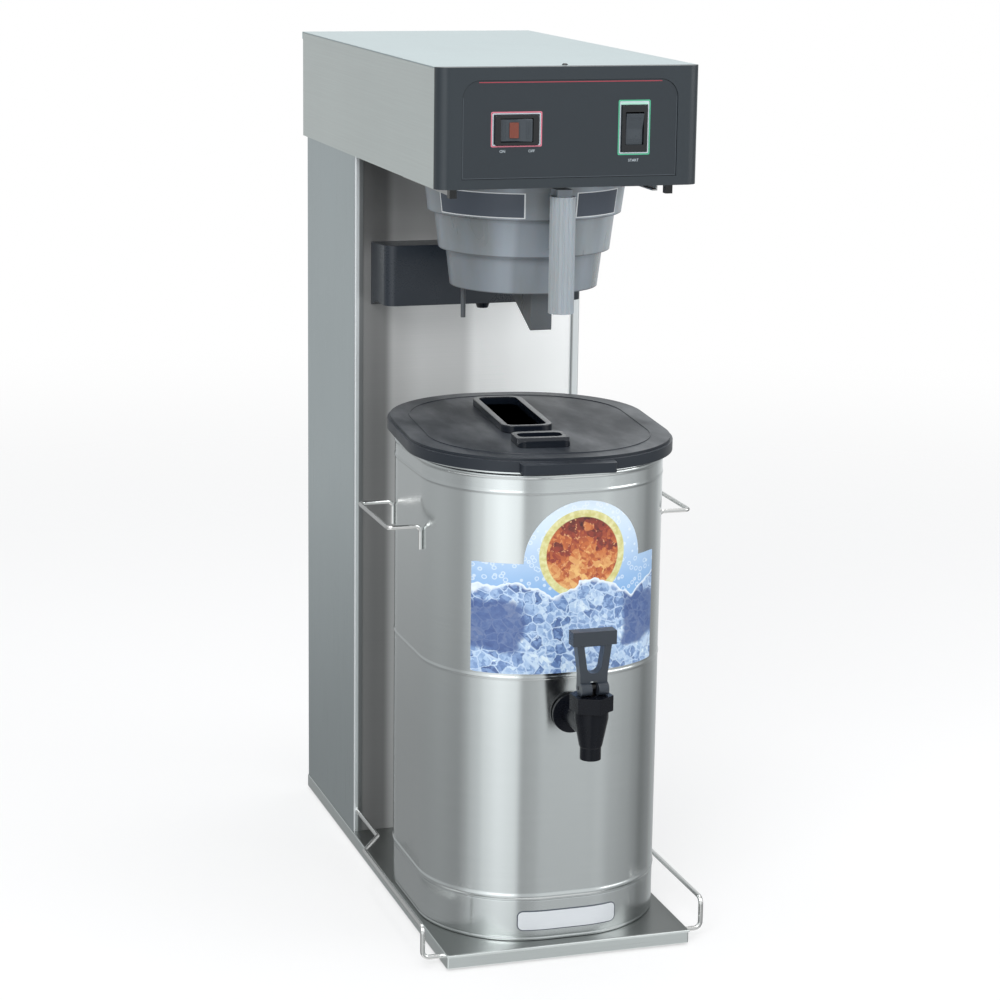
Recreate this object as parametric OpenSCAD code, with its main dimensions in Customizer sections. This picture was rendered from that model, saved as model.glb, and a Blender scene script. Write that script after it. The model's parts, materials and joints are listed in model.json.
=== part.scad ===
// Counter-top iced tea maker with a lift-out dispenser.
// Millimetres, +Z up, front towards -Y, origin under the middle of the whole machine.
// Depths ending in _at are measured forward from the rear face of the column.

/* [Tray] */
// Width that the tray stands out past each side of the column
tray_margin = 1; // [0:0.5:8]
// Depth of the base tray
tray_d = 587; // [570:1:640]
// Height of the folded tray edge
tray_h = 15; // [12:1:25]
// Sheet thickness of the tray
tray_t = 1.5; // [1:0.25:2.5]
// Diameter of the rolled front hem
hem_dia = 3; // [2:0.5:5]
// Height that the feet stand out under the tray
foot_out = 2; // [1:0.5:10]
// Diameter of a rubber foot
foot_dia = 24; // [16:1:40]
// Distance from the tray's edges to a foot's centre
foot_inset = 30; // [22:1:45]

/* [Column] */
// Width of the column
trunk_w = 258; // [250:1:264]
// Depth of the column
trunk_d = 211; // [206:1:230]
// Height from the tray's top to the hood's lower edge
trunk_clear = 762; // [740:1:820]
// Width of the column's front flanges
flange_w = 10; // [8:1:16]
// Sheet thickness of column and hood
sheet = 1.2; // [0.8:0.1:1.6]

/* [Hood] */
// Width of the hood
hood_w = 268; // [264:1:300]
// Height of the hood
hood_h = 116; // [104:1:150]
// Depth of the hood behind the fascia
hood_len = 527; // [515:1:560]
// Height of the hood's floor above its lower edge
hood_floor_rise = 13; // [12:0.5:18]
// Height of the cover's rear lip
cover_lip = 8; // [7:1:20]
// Distance that the cover stands out at the rear
cover_over = 2; // [1.5:0.5:4]
// Diameter of the cover screws' heads
screw_head = 6; // [5:0.5:8]

/* [Fascia] */
// Depth of the fascia, which is also the radius of its front corners
fascia_t = 13; // [10:0.5:18]
// Wall of the fascia moulding
fascia_wall = 3; // [2.5:0.5:4]
// Width of the overlay panel
overlay_w = 219; // [200:1:236]
// Height of the overlay panel
overlay_h = 94; // [86:1:98]
// Height of the overlay's lower edge above the fascia's
overlay_lift = 9.5; // [5:0.5:11]
// Thickness of the overlay panel
overlay_t = 0.6; // [0.4:0.1:1]
// Depth of the recess that holds the overlay
recess_t = 1.4; // [1:0.1:1.8]
// Corner radius at the overlay's top
overlay_round = 18; // [8:1:30]

/* [Switches] */
// Height of both switches above the hood's lower edge
switch_up = 56; // [50:1:62]
// Sideways place of the power switch
power_x = -55; // [-70:1:-40]
// Width of the power switch bezel
power_bezel_w = 44; // [42:1:52]
// Height of the power switch bezel
power_bezel_h = 29; // [28:1:36]
// Length of the power rocker
power_len = 32; // [28:1:34]
// Width of the power rocker
power_wid = 22; // [18:1:22]
// Width of the orange lens on the power rocker
lens_w = 9; // [6:0.5:11]
// Height of the orange lens
lens_h = 15; // [10:0.5:17]
// Sideways place of the start switch
start_x = 65; // [50:1:75]
// Width of the start switch bezel
start_bezel_w = 26; // [25:1:34]
// Height of the start switch bezel
start_bezel_h = 45; // [42:1:50]
// Length of the start rocker
start_len = 31; // [28:1:34]
// Width of the start rocker
start_wid = 18; // [14:1:18]
// Half of the rockers' travel in degrees
rocker_tilt = 8; // [4:1:9]
// Radius of the rockers' pivot pins
rocker_pin_r = 1.5; // [1:0.25:2]
// Wall of the switch housings
switch_wall = 1.8; // [1.2:0.1:1.8]

/* [Brew funnel] */
// Place of the funnel's axis
funnel_at = 400; // [392:1:408]
// Outer radius at the top of the first tier
tier_1 = 103; // [98:0.5:103]
// Outer radius at the top of the second tier
tier_2 = 92; // [88:0.5:94]
// Outer radius at the top of the third tier
tier_3 = 80; // [76:0.5:82]
// Taper of each tier from top to bottom
tier_taper = 4.5; // [2:0.5:5]
// Height of the first tier
tier_1_h = 34; // [30:1:36]
// Height of the second and the third tier
tier_h = 38; // [34:1:40]
// Wall of the funnel
funnel_wall = 3; // [2:0.5:3.5]
// Gap between the funnel's rim and the hood's lower edge
rim_drop = 4; // [3:0.5:6]
// Thickness of the flange that runs in the rails
flange_t = 5.5; // [4:0.5:6]
// Width across the sliding flange
flange_across = 215; // [213:1:219]
// Length of the sliding flange
flange_len = 130; // [100:1:150]
// Diameter of the fluted handle
grip_dia = 25.5; // [22:0.5:28]
// Distance from the funnel's axis to the handle's axis
grip_out = 120; // [119:0.5:125]
// Distance that the handle reaches under the rim
grip_len = 122; // [100:1:130]
// Width of the chute
chute_w = 22; // [18:1:28]
// Distance from the funnel's axis to the chute's front
chute_out = 60; // [54:1:66]
// Distance from the funnel's floor to the chute's mouth
chute_drop = 39; // [34:1:44]
// Diameter of the foot pins
stud_dia = 5; // [4:0.5:7]

/* [Rails and sprayhead] */
// Width of the lip that carries the funnel
rail_lip = 4; // [3:0.5:4]
// Side gap between the flange and the rails
rail_gap = 0.3; // [0.2:0.1:0.6]
// Diameter of the sprayhead
spray_dia = 64; // [50:1:80]
// Thickness of the sprayhead's disc
spray_t = 8; // [6:0.5:9]
// Outer diameter of the sprayhead's neck
spray_neck = 20; // [16:0.5:24]

/* [Dilution outlet] */
// Width of the black housing on the column
dil_w = 220; // [190:1:230]
// Depth of the black housing
dil_d = 61; // [56:1:66]
// Height of the black housing
dil_h = 68; // [60:1:72]
// Distance from the tray to the housing's underside
dil_up = 600; // [594:1:606]
// Corner radius of the housing
dil_round = 12; // [4:1:16]
// Wall of the housing
dil_wall = 2.5; // [2:0.5:3]
// Rise of the dilution housing's floor from the column to its flat front part
dil_rise = 7; // [4:0.5:8]
// Rise of the dilution housing's top from the column to its front
dil_top_rise = 3.5; // [0:0.5:5]
// Depth of the rising part of the housing's floor
dil_ramp = 22; // [16:1:30]
// Diameter of the nozzle
nozzle_dia = 16; // [12:0.5:20]
// Distance that the nozzle hangs out of the housing
nozzle_out = 6; // [4:0.5:7]

/* [Guide wires] */
// Diameter of the guide wire
guide_dia = 5; // [4:0.5:6]
// Distance of the guide wires outside the trunk's sides
guide_off = 21; // [18:1:26]
// Height of the guide wires above the tray
guide_up = 25; // [20:1:32]
// Place of the guide wires' front bend
guide_front_at = 566; // [550:1:568]
// Place of the bend next to the column
guide_in_at = 298; // [290:1:302]
// Place of the bend next to the dispenser
guide_out_at = 339; // [330:1:345]

/* [Dispenser] */
// Place of the dispenser's middle
disp_at = 423; // [421:1:426]
// Half width of the tank
tank_a = 126; // [122:0.5:127]
// Half depth of the tank
tank_b = 149; // [145:0.5:151]
// Corner radius of the tank
tank_r = 108; // [90:1:116]
// Wall of the tank
tank_t = 1; // [0.8:0.1:1.4]
// Height of the base skirt
skirt_h = 43; // [36:1:52]
// Height of the tank's rim above the tray
tank_h = 502.5; // [498:0.5:508]
// Height of the tank's floor above the tray
floor_up = 219.5; // [200:0.5:221]
// Height of the middle bead above the tray
bead_mid = 278; // [272:1:279]
// Height of the upper bead above the tray
bead_top = 467; // [464:1:472]
// Width of a bead
bead_h = 3; // [2:0.5:4]
// Distance that a bead stands out
bead_out = 0.9; // [0.5:0.1:1.5]
// Diameter of the handle wire
bail_dia = 4.5; // [4:0.5:6]
// Height of the handles above the tray
bail_up = 416; // [400:1:430]
// Distance that the handles stand out from the machine's middle
bail_x = 162; // [156:1:166]
// Half length of a handle
bail_half = 56; // [45:1:58]
// Length of the handle ends welded to the tank
bail_leg = 24; // [18:1:30]
// Width of the blank nameplate
plate_w = 106; // [90:1:116]
// Height of the blank nameplate
plate_h = 21; // [16:1:24]
// Width of the front decal
decal_w = 210; // [180:1:214]
// Height of the decal's band
decal_h = 113; // [90:1:120]
// Radius of the decal's crest
crest_r = 62; // [50:1:62]
// Thickness of the decal and of the nameplate
decal_t = 0.4; // [0.3:0.1:0.6]

/* [Lid] */
// Half width of the lid
lid_a = 136; // [135:0.5:138]
// Half depth of the lid
lid_b = 172; // [162:0.5:172]
// Corner radius of the lid
lid_r = 124; // [110:1:128]
// Height of the lid's side
lid_h = 14; // [12:0.5:16]
// Thickness of the lid's top
lid_t = 3.2; // [2.5:0.1:4]
// Angle at which the lid sits turned on the tank
lid_turn = -5; // [-6:1:3]
// Width of the front tab
tab_w = 95; // [70:1:110]
// Distance that the front tab stands out
tab_out = 9; // [5:0.5:12]
// Inner width of the brew-through collar
collar_w = 40; // [34:1:46]
// Inner length of the brew-through collar
collar_len = 147; // [130:1:150]
// Wall of the collar
collar_wall = 6.5; // [4:0.5:8]
// Height of the collar and of the grip
collar_h = 8; // [6:0.5:10]
// Distance that collar and grip sit left of the lid's middle
collar_shift = 10.5; // [0:0.5:12]
// Length of the grip, sideways
grip_w = 53.5; // [48:0.5:66]
// Depth of the grip, front to back
grip_d = 44; // [38:1:46]

/* [Tap] */
// Distance from the tank's front to the tap's axis
tap_out = 62; // [58:1:70]
// Height of the tap's shank above the tray
tap_up = 241; // [238:1:244]
// Radius of the shank
shank_r = 11; // [9:0.5:12]
// Radius of the flange on the shank
shank_flange_r = 20; // [17:0.5:21]
// Radius of the upper body
tap_r = 17; // [16:0.5:18]
// Radius of the spout's mouth, outside
spout_r = 10.5; // [10:0.25:11.5]
// Radius of the bore in the body
tap_bore_r = 8.2; // [7.5:0.1:8.5]
// Radius of the hexagonal bonnet nut over its corners
bonnet_r = 21.68; // [20:0.02:24]
// Height of the bonnet nut
bonnet_h = 16; // [14:0.5:18]
// Radius of the stem
stem_r = 3; // [2.5:0.25:3]
// Radius of the handle's pin
tap_pin_r = 1.95; // [1.5:0.05:2]
// Distance that the stem lifts
stem_lift = 4; // [3:0.5:4]
// Width of the handle's top bar
bar_w = 45; // [36:1:50]
// Height of the handle above its pin
handle_h = 58; // [52:1:64]
// Thickness of the handle, front to back
handle_t = 12; // [10:0.5:12.5]

/* [Water system] */
// Radius of the hot water tank
boiler_r = 85; // [70:1:86]
// Height of the hot water tank
boiler_h = 300; // [260:1:304]
// Wall of the hot water tank
boiler_t = 1; // [0.8:0.1:2]
// Height of the tank's shelf above the tray
shelf_up = 423; // [400:1:424]
// Outer radius of the water tubes
tube_r = 5; // [4:0.25:5.5]
// Radius of the inlet fitting's thread
inlet_r = 5.55; // [5:0.05:7]
// Length of the inlet fitting's thread
inlet_len = 13; // [10:0.5:20]
// Height of the inlet above the tray
inlet_up = 53; // [50:1:60]
// Sideways place of the inlet
inlet_x = 60; // [56:1:66]
// Distance between the column's middle and the mains cord's gland
cord_x = 88; // [82:1:100]
// Distance between the column's middle and each valve
valve_x = 40; // [36:1:42]

/* [Hidden] */
$fn = 64;

// Clearances
slack = 0.2;      // between a piece and its seat
run_gap = 0.4;    // between moving faces
pin_gap = 0.05;   // round a pin in its bore
skin_gap = 0.05;  // under a decal or plate on a curved wall

// The origin lies midway between the inlet's end and the front of the tap.
rear_reach = inlet_len + 3;
tap_at = disp_at + tank_b + tap_out;
bonnet_turn = 25; // from a corner beside the machine's middle plane to a flat beside it
rear_y = (tap_at + bonnet_r * cos(30 - bonnet_turn) - rear_reach) / 2;

// Levels
tray_top = foot_out + tray_h;
tray_w = trunk_w + 2 * tray_margin;
hood_z = tray_top + trunk_clear;
hood_floor_z = hood_z + hood_floor_rise;
top_z = hood_z + hood_h;
disp_z = tray_top + slack;
tank_top = tray_top + tank_h;
rim_z = hood_z - rim_drop;
funnel_z2 = rim_z - tier_1_h;
funnel_z1 = funnel_z2 - tier_h;
funnel_z0 = funnel_z1 - tier_h;
dil_z = tray_top + dil_up;
shelf_z = tray_top + shelf_up;
shelf_t = 1.5;
boiler_z = shelf_z + shelf_t;
boiler_at = trunk_d / 2;
boiler_top = boiler_z + boiler_h;
switch_z = hood_z + switch_up;

// A point given by its sideways place, its distance from the rear face and its height
function at(x, d, z) = [x, rear_y - d, z];

// Half width of a rounded oval at a distance from its middle
function oval_x(a, b, r, dy) =
    abs(dy) <= b - r ? a : a - r + sqrt(max(0, r * r - pow(abs(dy) - (b - r), 2)));

// Rounded oval with half width a, half depth b and corner radius r
module oval(a, b, r) {
    square([2 * (a - r), 2 * b], center = true);
    square([2 * a, 2 * (b - r)], center = true);
    for (sx = [-1, 1], sy = [-1, 1])
        translate([sx * (a - r), sy * (b - r)]) circle(r, $fn = 96);
}

// Upright oval wall of height h whose outer half sizes are a and b
module oval_wall(a, b, r, t, h) {
    linear_extrude(h) difference() {
        oval(a, b, r);
        oval(a - t, b - t, r - t);
    }
}

// Rectangle with rounded corners, centred
module rounded(w, h, r) {
    square([w - 2 * r, h], center = true);
    square([w, h - 2 * r], center = true);
    for (sx = [-1, 1], sy = [-1, 1])
        translate([sx * (w / 2 - r), sy * (h / 2 - r)]) circle(r, $fn = 48);
}

// Rectangle whose front corners only are rounded: width w, depth d, front towards -Y
module front_rounded(w, d, r) {
    if (d > r) translate([-w / 2, -(d - r)]) square([w, d - r]);
    translate([-(w / 2 - r), -d]) square([w - 2 * r, d]);
    for (sx = [-1, 1]) translate([sx * (w / 2 - r), -(d - r)]) circle(r);
}

// Box from its middle in X, its rear face's place d0, its front face's place d1 and two heights
module slab(x0, x1, d0, d1, z0, z1) {
    translate([x0, rear_y - d1, z0]) cube([x1 - x0, d1 - d0, z1 - z0]);
}

// Cylinder along Y between two places
module along_y(x, d0, d1, z, r) {
    translate(at(x, d1, z)) rotate([-90, 0, 0]) cylinder(r = r, h = d1 - d0);
}

// Profile drawn in (depth, height) and made w wide about x
module side_profile(x, w, points) {
    translate([x - w / 2, rear_y, 0]) rotate([90, 0, 90]) linear_extrude(w)
        polygon([for (p = points) [-p[0], p[1]]]);
}

// Tube swept along a path
function unit(v) = v / norm(v);
function arc_points(a, b, c, r, n) =
    let (u = unit(a - b), v = unit(c - b), half = acos(max(-1, min(1, u * v))) / 2,
         m = b + unit(u + v) * r / sin(half), e0 = b + u * r / tan(half) - m,
         e1 = b + v * r / tan(half) - m, phi = 180 - 2 * half)
    [for (k = [0 : n]) m + (sin((1 - k / n) * phi) * e0 + sin(k / n * phi) * e1) / sin(phi)];
function rounded_path(p, r, n) = [
    p[0], for (i = [1 : len(p) - 2]) each arc_points(p[i - 1], p[i], p[i + 1], r, n), p[len(p) - 1]
];
function tangents(p) = [for (i = [0 : len(p) - 1])
    unit((i < len(p) - 1 ? unit(p[i + 1] - p[i]) : [0, 0, 0])
        + (i > 0 ? unit(p[i] - p[i - 1]) : [0, 0, 0]))];
function flatten_to(n, t) = unit(n - (n * t) * t);
function normals(t) = let (s = abs(t[0][2]) < 0.9 ? [0, 0, 1] : [1, 0, 0]) [
    for (i = 0, n = flatten_to(s, t[0]); i < len(t);
         n = flatten_to(n, t[min(i + 1, len(t) - 1)]), i = i + 1) n
];
module wire(points, r, bend, sides = 12, steps = 6) {
    p = rounded_path(points, bend, steps);
    t = tangents(p);
    n = normals(t);
    last = len(p) - 1;
    polyhedron(
        points = [for (i = [0 : last], k = [0 : sides - 1])
            p[i] + r * (cos(360 * k / sides) * n[i] + sin(360 * k / sides) * cross(t[i], n[i]))],
        faces = [
            [for (k = [0 : sides - 1]) k],
            for (i = [0 : last - 1], k = [0 : sides - 1])
                let (a = i * sides + k, b = i * sides + (k + 1) % sides)
                each [[a, a + sides, b + sides], [a, b + sides, b]],
            [for (k = [sides - 1 : -1 : 0]) last * sides + k]
        ]);
}

// Base tray: folded pan with a rolled hem along its front edge
module base_tray() {
    color("silver") {
        difference() {
            slab(-tray_w / 2, tray_w / 2, 0, tray_d - hem_dia / 2, foot_out, tray_top);
            slab(-tray_w / 2 + tray_t, tray_w / 2 - tray_t, tray_t, tray_d - hem_dia / 2 - tray_t,
                 foot_out - 1, tray_top - tray_t);
        }
        translate(at(-tray_w / 2, tray_d - hem_dia / 2, tray_top - hem_dia / 2))
            rotate([0, 90, 0]) cylinder(d = hem_dia, h = tray_w);
    }
}

module rubber_feet() {
    color("dimgray")
        for (sx = [-1, 1], d = [foot_inset, tray_d - foot_inset])
            translate(at(sx * (tray_w / 2 - foot_inset), d, 0))
                cylinder(d = foot_dia, h = tray_top - tray_t);
}

// Guide wire on the side s: out of the column, round the dispenser and into the tray's edge
module guide_wire(s) {
    z = tray_top + guide_up;
    x_in = trunk_w / 2 - flange_w / 2;
    x_out = trunk_w / 2 + guide_off;
    color("gainsboro") wire([
        at(s * x_in, trunk_d, z), at(s * x_in, guide_in_at, z), at(s * x_out, guide_out_at, z),
        at(s * x_out, guide_front_at, z), at(s * x_out, guide_front_at, foot_out + tray_h / 2),
        at(s * tray_w / 2, guide_front_at, foot_out + tray_h / 2)
    ], guide_dia / 2, guide_dia * 1.4);
}
module left_guide_wire() { guide_wire(-1); }
module right_guide_wire() { guide_wire(1); }

// Column: rear wall, two sides and two narrow flanges at the front
module trunk_shell() {
    color("lightgray") difference() {
        slab(-trunk_w / 2, trunk_w / 2, 0, trunk_d, tray_top, hood_floor_z);
        slab(-trunk_w / 2 + sheet, trunk_w / 2 - sheet, sheet, trunk_d - sheet,
             tray_top - 1, hood_floor_z + 1);
        slab(-trunk_w / 2 + flange_w, trunk_w / 2 - flange_w, trunk_d - 2 * sheet, trunk_d + 1,
             tray_top - 1, hood_floor_z + 1);
        along_y(inlet_x, -1, 2 * sheet, inlet_z, inlet_hole_r);
        along_y(-cord_x, -1, 2 * sheet, inlet_z, gland_r + slack);
    }
}
inlet_neck_r = inlet_r + 0.45;
inlet_hole_r = inlet_neck_r + slack;
gland_r = 11;

// Splash panel: lies behind the column's front flanges
module splash_panel() {
    color("silver") difference() {
        slab(-trunk_w / 2 + sheet, trunk_w / 2 - sheet, trunk_d - 2 * sheet, trunk_d - sheet,
             tray_top, hood_floor_z);
        along_y(0, trunk_d - 10, trunk_d + 1, dil_tube_z, tube_r + 1.5);
    }
}

// Hood: two sides, a rear wall above the column and a cross strip under the cover's front
module hood_shell() {
    cover_z = top_z - sheet;
    color("gainsboro") {
        for (s = [-1, 1]) translate(at(s * (hood_w - sheet) / 2 - sheet / 2, hood_len, hood_z))
            cube([sheet, hood_len, cover_z - hood_z]);
        slab(-hood_w / 2, hood_w / 2, 0, sheet, hood_floor_z, cover_z);
        difference() {
            slab(-hood_w / 2, hood_w / 2, hood_len - 18, hood_len - 1, cover_z - sheet, cover_z);
            translate(at(0, hood_len - 9, cover_z - 5)) cylinder(r = screw_r + slack, h = 10);
        }
    }
}
screw_r = 1.5;

module hood_cover() {
    color("gainsboro") difference() {
        union() {
            slab(-hood_w / 2, hood_w / 2, -cover_over, hood_len, top_z - sheet, top_z);
            slab(-hood_w / 2, hood_w / 2, -cover_over, sheet - cover_over,
                 top_z - cover_lip, top_z);
        }
        translate(at(0, hood_len - 9, top_z - 5)) cylinder(r = screw_r + slack, h = 10);
        for (s = [-1, 1])
            along_y(s * hood_w * 0.4, -cover_over - 1, 2, top_z - cover_lip / 2, screw_r + slack);
    }
}

// Cover screws: one on the top, two in the rear lip
module cover_screws() {
    color("dimgray") {
        translate(at(0, hood_len - 9, top_z)) cylinder(d = screw_head, h = 1.6);
        translate(at(0, hood_len - 9, top_z - 8)) cylinder(r = screw_r, h = 8);
        for (s = [-1, 1]) {
            along_y(s * hood_w * 0.4, -cover_over - 1.6, -cover_over, top_z - cover_lip / 2,
                    screw_head / 2);
            along_y(s * hood_w * 0.4, -cover_over, -0.1, top_z - cover_lip / 2, screw_r);
        }
    }
}

// Hood floor: closes the hood's underside and is open into the column
module hood_floor() {
    color("silver") difference() {
        slab(-hood_w / 2 + sheet, hood_w / 2 - sheet, sheet, hood_len, hood_floor_z,
             hood_floor_z + sheet);
        slab(-trunk_w / 2 + 14, trunk_w / 2 - 14, 14, trunk_d - 14, hood_floor_z - 1,
             hood_floor_z + sheet + 1);
        translate(at(0, funnel_at, hood_floor_z - 1))
            cylinder(d = spray_neck + 2 * slack, h = sheet + 2);
    }
}

// Outline of the overlay panel with its lower edge on the X axis
module overlay_outline(grow = 0) {
    w = overlay_w + 2 * grow;
    h = overlay_h + 2 * grow;
    translate([0, -grow]) {
        translate([-w / 2, 0]) square([w, h - overlay_round]);
        translate([-w / 2 + overlay_round, 0]) square([w - 2 * overlay_round, h]);
        for (s = [-1, 1]) translate([s * (w / 2 - overlay_round), h - overlay_round])
            circle(overlay_round);
    }
}

// Openings for both switch housings, cut along Y
module switch_cuts(gap) {
    for (c = [[power_x, power_len, power_wid], [start_x, start_wid, start_len]])
        translate([c[0], 0, switch_z]) cube([
            c[1] + 2 * (run_gap + switch_wall + gap), 2000,
            c[2] + 2 * (run_gap + switch_wall + gap)], center = true);
}

module control_fascia() {
    color([0.15, 0.16, 0.19]) translate(at(0, hood_len, 0)) difference() {
        translate([0, 0, hood_z]) linear_extrude(hood_h) front_rounded(hood_w, fascia_t, fascia_t);
        translate([0, 0, hood_z + fascia_wall]) linear_extrude(hood_h - 2 * fascia_wall)
            front_rounded(hood_w - 2 * fascia_wall, fascia_t - fascia_wall,
                          fascia_t - fascia_wall);
        translate([-hood_w, 0, hood_z - 1]) cube([2 * hood_w, 2 * fascia_t, hood_h + 2]);
        translate([0, -fascia_t + recess_t, hood_z + overlay_lift]) rotate([90, 0, 0])
            linear_extrude(recess_t + 1) overlay_outline(slack);
        switch_cuts(slack);
    }
}

module fascia_overlay() {
    color([0.2, 0.21, 0.25]) difference() {
        translate(at(0, hood_len + fascia_t - recess_t, hood_z + overlay_lift))
            rotate([90, 0, 0]) linear_extrude(overlay_t) overlay_outline();
        translate([0, rear_y, 0]) switch_cuts(slack);
    }
}

// Rocker switches, drawn with the pivot along Z at the origin and the front towards -Y
bezel_t = 2;
bezel_front = 6.5;    // pivot to the bezel's front
rocker_face = 5;      // pivot to the middle of the rocker's face
rocker_rise = 2;      // how far the rocker's ends stand out past the middle
rocker_back = 5;
pivot_at = hood_len + fascia_t - recess_t + overlay_t + bezel_t - bezel_front;
lens_depth = 3;

module rocker(len, wid) {
    rotate([0, 0, -rocker_tilt]) {
        intersection() {
            cylinder(d = len, h = wid, center = true);
            translate([0, 0, -wid / 2]) linear_extrude(wid) polygon([
                [-len / 2, -rocker_face - rocker_rise], [0, -rocker_face],
                [len / 2, -rocker_face - rocker_rise], [len / 2, rocker_back],
                [-len / 2, rocker_back]]);
        }
        cylinder(r = rocker_pin_r, h = wid + 2 * (run_gap + switch_wall * 0.8), center = true);
    }
}

module rocker_housing(len, wid, bezel_w, bezel_h) {
    in_l = len + 2 * run_gap;
    in_w = wid + 2 * run_gap;
    deep = rocker_back + 4;
    difference() {
        union() {
            translate([-bezel_w / 2, -bezel_front, -bezel_h / 2])
                cube([bezel_w, bezel_t, bezel_h]);
            translate([-in_l / 2 - switch_wall, bezel_t - bezel_front, -in_w / 2 - switch_wall])
                cube([in_l + 2 * switch_wall, bezel_front - bezel_t + deep + switch_wall,
                      in_w + 2 * switch_wall]);
        }
        translate([-in_l / 2, -bezel_front - 1, -in_w / 2])
            cube([in_l, bezel_front + 1 + deep, in_w]);
        cylinder(r = rocker_pin_r + pin_gap, h = in_w + 2 * switch_wall + 2, center = true);
    }
}

module at_power() { translate(at(power_x, pivot_at, switch_z)) children(); }
module at_start() { translate(at(start_x, pivot_at, switch_z)) rotate([0, 90, 0]) children(); }

module power_switch() {
    color("black") at_power() rocker_housing(power_len, power_wid, power_bezel_w, power_bezel_h);
}
module lens_block(grow) {
    rotate([0, 0, -rocker_tilt]) translate([-2, -rocker_face + lens_depth / 2 - 0.5, 0])
        cube([lens_w + grow, lens_depth, lens_h + grow], center = true);
}
module power_rocker() {
    color([0.1, 0.1, 0.12]) at_power() difference() {
        rocker(power_len, power_wid);
        lens_block(0.1);
    }
}
module power_lens() { color("orangered") at_power() lens_block(0); }
module start_switch() {
    color("black") at_start() rocker_housing(start_len, start_wid, start_bezel_h, start_bezel_w);
}
module start_rocker() {
    color([0.1, 0.1, 0.12]) at_start() rocker(start_len, start_wid);
}

// Funnel rails: hang from the hood floor, with a lip under the funnel's flange
rail_x = flange_across / 2 + rail_gap;
rail_lip_z = rim_z - flange_t - rail_gap;
rail_end = hood_len - 9;
rail_front = rail_end - 26;        // front end of the lips, out of sight behind the fascia
rail_block = 6;
module funnel_rails() {
    d0 = funnel_at - flange_len / 2 - 4;
    color("gray") translate([0, rear_y, 0]) for (m = [0, 1]) mirror([m, 0, 0]) {
        translate([rail_x, -rail_end, hood_z])
            cube([sheet, rail_end - d0, hood_floor_z - hood_z]);
        translate([rail_x, -rail_front, rail_lip_z - sheet])
            cube([sheet, rail_front - d0, hood_floor_z - rail_lip_z + sheet]);
        translate([rail_x - rail_lip, -rail_front, rail_lip_z - sheet])
            cube([rail_lip + sheet, rail_front - d0, sheet]);
        translate([rail_x, -rail_end, hood_floor_z - sheet])
            cube([10, rail_end - d0, sheet]);
        translate([rail_x - rail_lip, -d0, rail_lip_z - sheet])
            cube([rail_lip + sheet, sheet, hood_floor_z - rail_lip_z + sheet]);
        translate([rail_x, -rail_end, rail_lip_z - sheet])
            cube([rail_block + sheet, rail_block + 2, hood_z - rail_lip_z + 2 * sheet]);
    }
}

// Sprayhead: perforated disc under the floor, its neck goes up through it
spray_z = rim_z + 3;
spray_shoulder_r = 14;
module sprayhead() {
    color("gray") translate(at(0, funnel_at, 0)) difference() {
        union() {
            translate([0, 0, spray_z]) cylinder(d = spray_dia, h = spray_t);
            translate([0, 0, spray_z]) cylinder(r = spray_shoulder_r, h = hood_floor_z - spray_z);
            translate([0, 0, hood_floor_z - 1]) cylinder(d = spray_neck, h = sheet + 8);
            translate([0, 0, hood_floor_z]) cylinder(r = tube_r, h = spray_stub);
        }
        translate([0, 0, spray_z + 2]) cylinder(r = tube_r - 1.5, h = 100);
        translate([0, 0, spray_z + 2]) cylinder(r = spray_dia / 2 - 4, h = spray_t - 4);
        for (a = [0 : 60 : 300]) rotate(a) translate([spray_dia / 2 - 12, 0, spray_z - 1])
            cylinder(r = 1.5, h = 4, $fn = 24);
        translate([0, 0, spray_z - 1]) cylinder(r = 1.5, h = 4, $fn = 24);
    }
}
spray_stub = 20;
module sprayhead_nut() {
    color("gainsboro") translate(at(0, funnel_at, hood_floor_z + sheet)) difference() {
        cylinder(d = spray_neck + 12, h = 5, $fn = 6);
        translate([0, 0, -1]) cylinder(d = spray_neck + 2 * pin_gap, h = 7);
    }
}

// Black housing on the column that carries the dilution nozzle
nozzle_at = trunk_d + dil_d - 10;
nozzle_bore_r = nozzle_dia / 2 - 2;
dil_tube_z = dil_z + dil_h - 23;
nozzle_seat_z = dil_z + dil_rise;
// The housing seen from its side, made smaller by a wall; its rear runs into the column
module dil_side(inset) {
    front = inset - dil_d - sheet;
    back = 2 * dil_wall;
    translate([-dil_w, 0, 0]) rotate([90, 0, 90]) linear_extrude(2 * dil_w) polygon([
        [back, inset], [0, inset], [-dil_ramp, dil_rise + inset], [front, dil_rise + inset],
        [front, dil_h + dil_top_rise - inset], [0, dil_h - inset], [back, dil_h - inset]]);
}
module dilution_housing() {
    color([0.13, 0.15, 0.18]) translate(at(0, trunk_d - sheet, dil_z)) difference() {
        intersection() {
            linear_extrude(dil_h + dil_top_rise) front_rounded(dil_w, dil_d + sheet, dil_round);
            dil_side(0);
        }
        intersection() {
            linear_extrude(dil_h + dil_top_rise) {
                front_rounded(dil_w - 2 * dil_wall, dil_d + sheet - dil_wall,
                              dil_round - dil_wall);
                translate([-dil_w / 2 + dil_wall, -1]) square([dil_w - 2 * dil_wall, 3]);
            }
            dil_side(dil_wall);
        }
        translate([0, -(nozzle_at - trunk_d + sheet), dil_rise - 1])
            cylinder(r = nozzle_bore_r + pin_gap, h = dil_wall + 2);
    }
}
nozzle_neck = 15;
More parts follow.
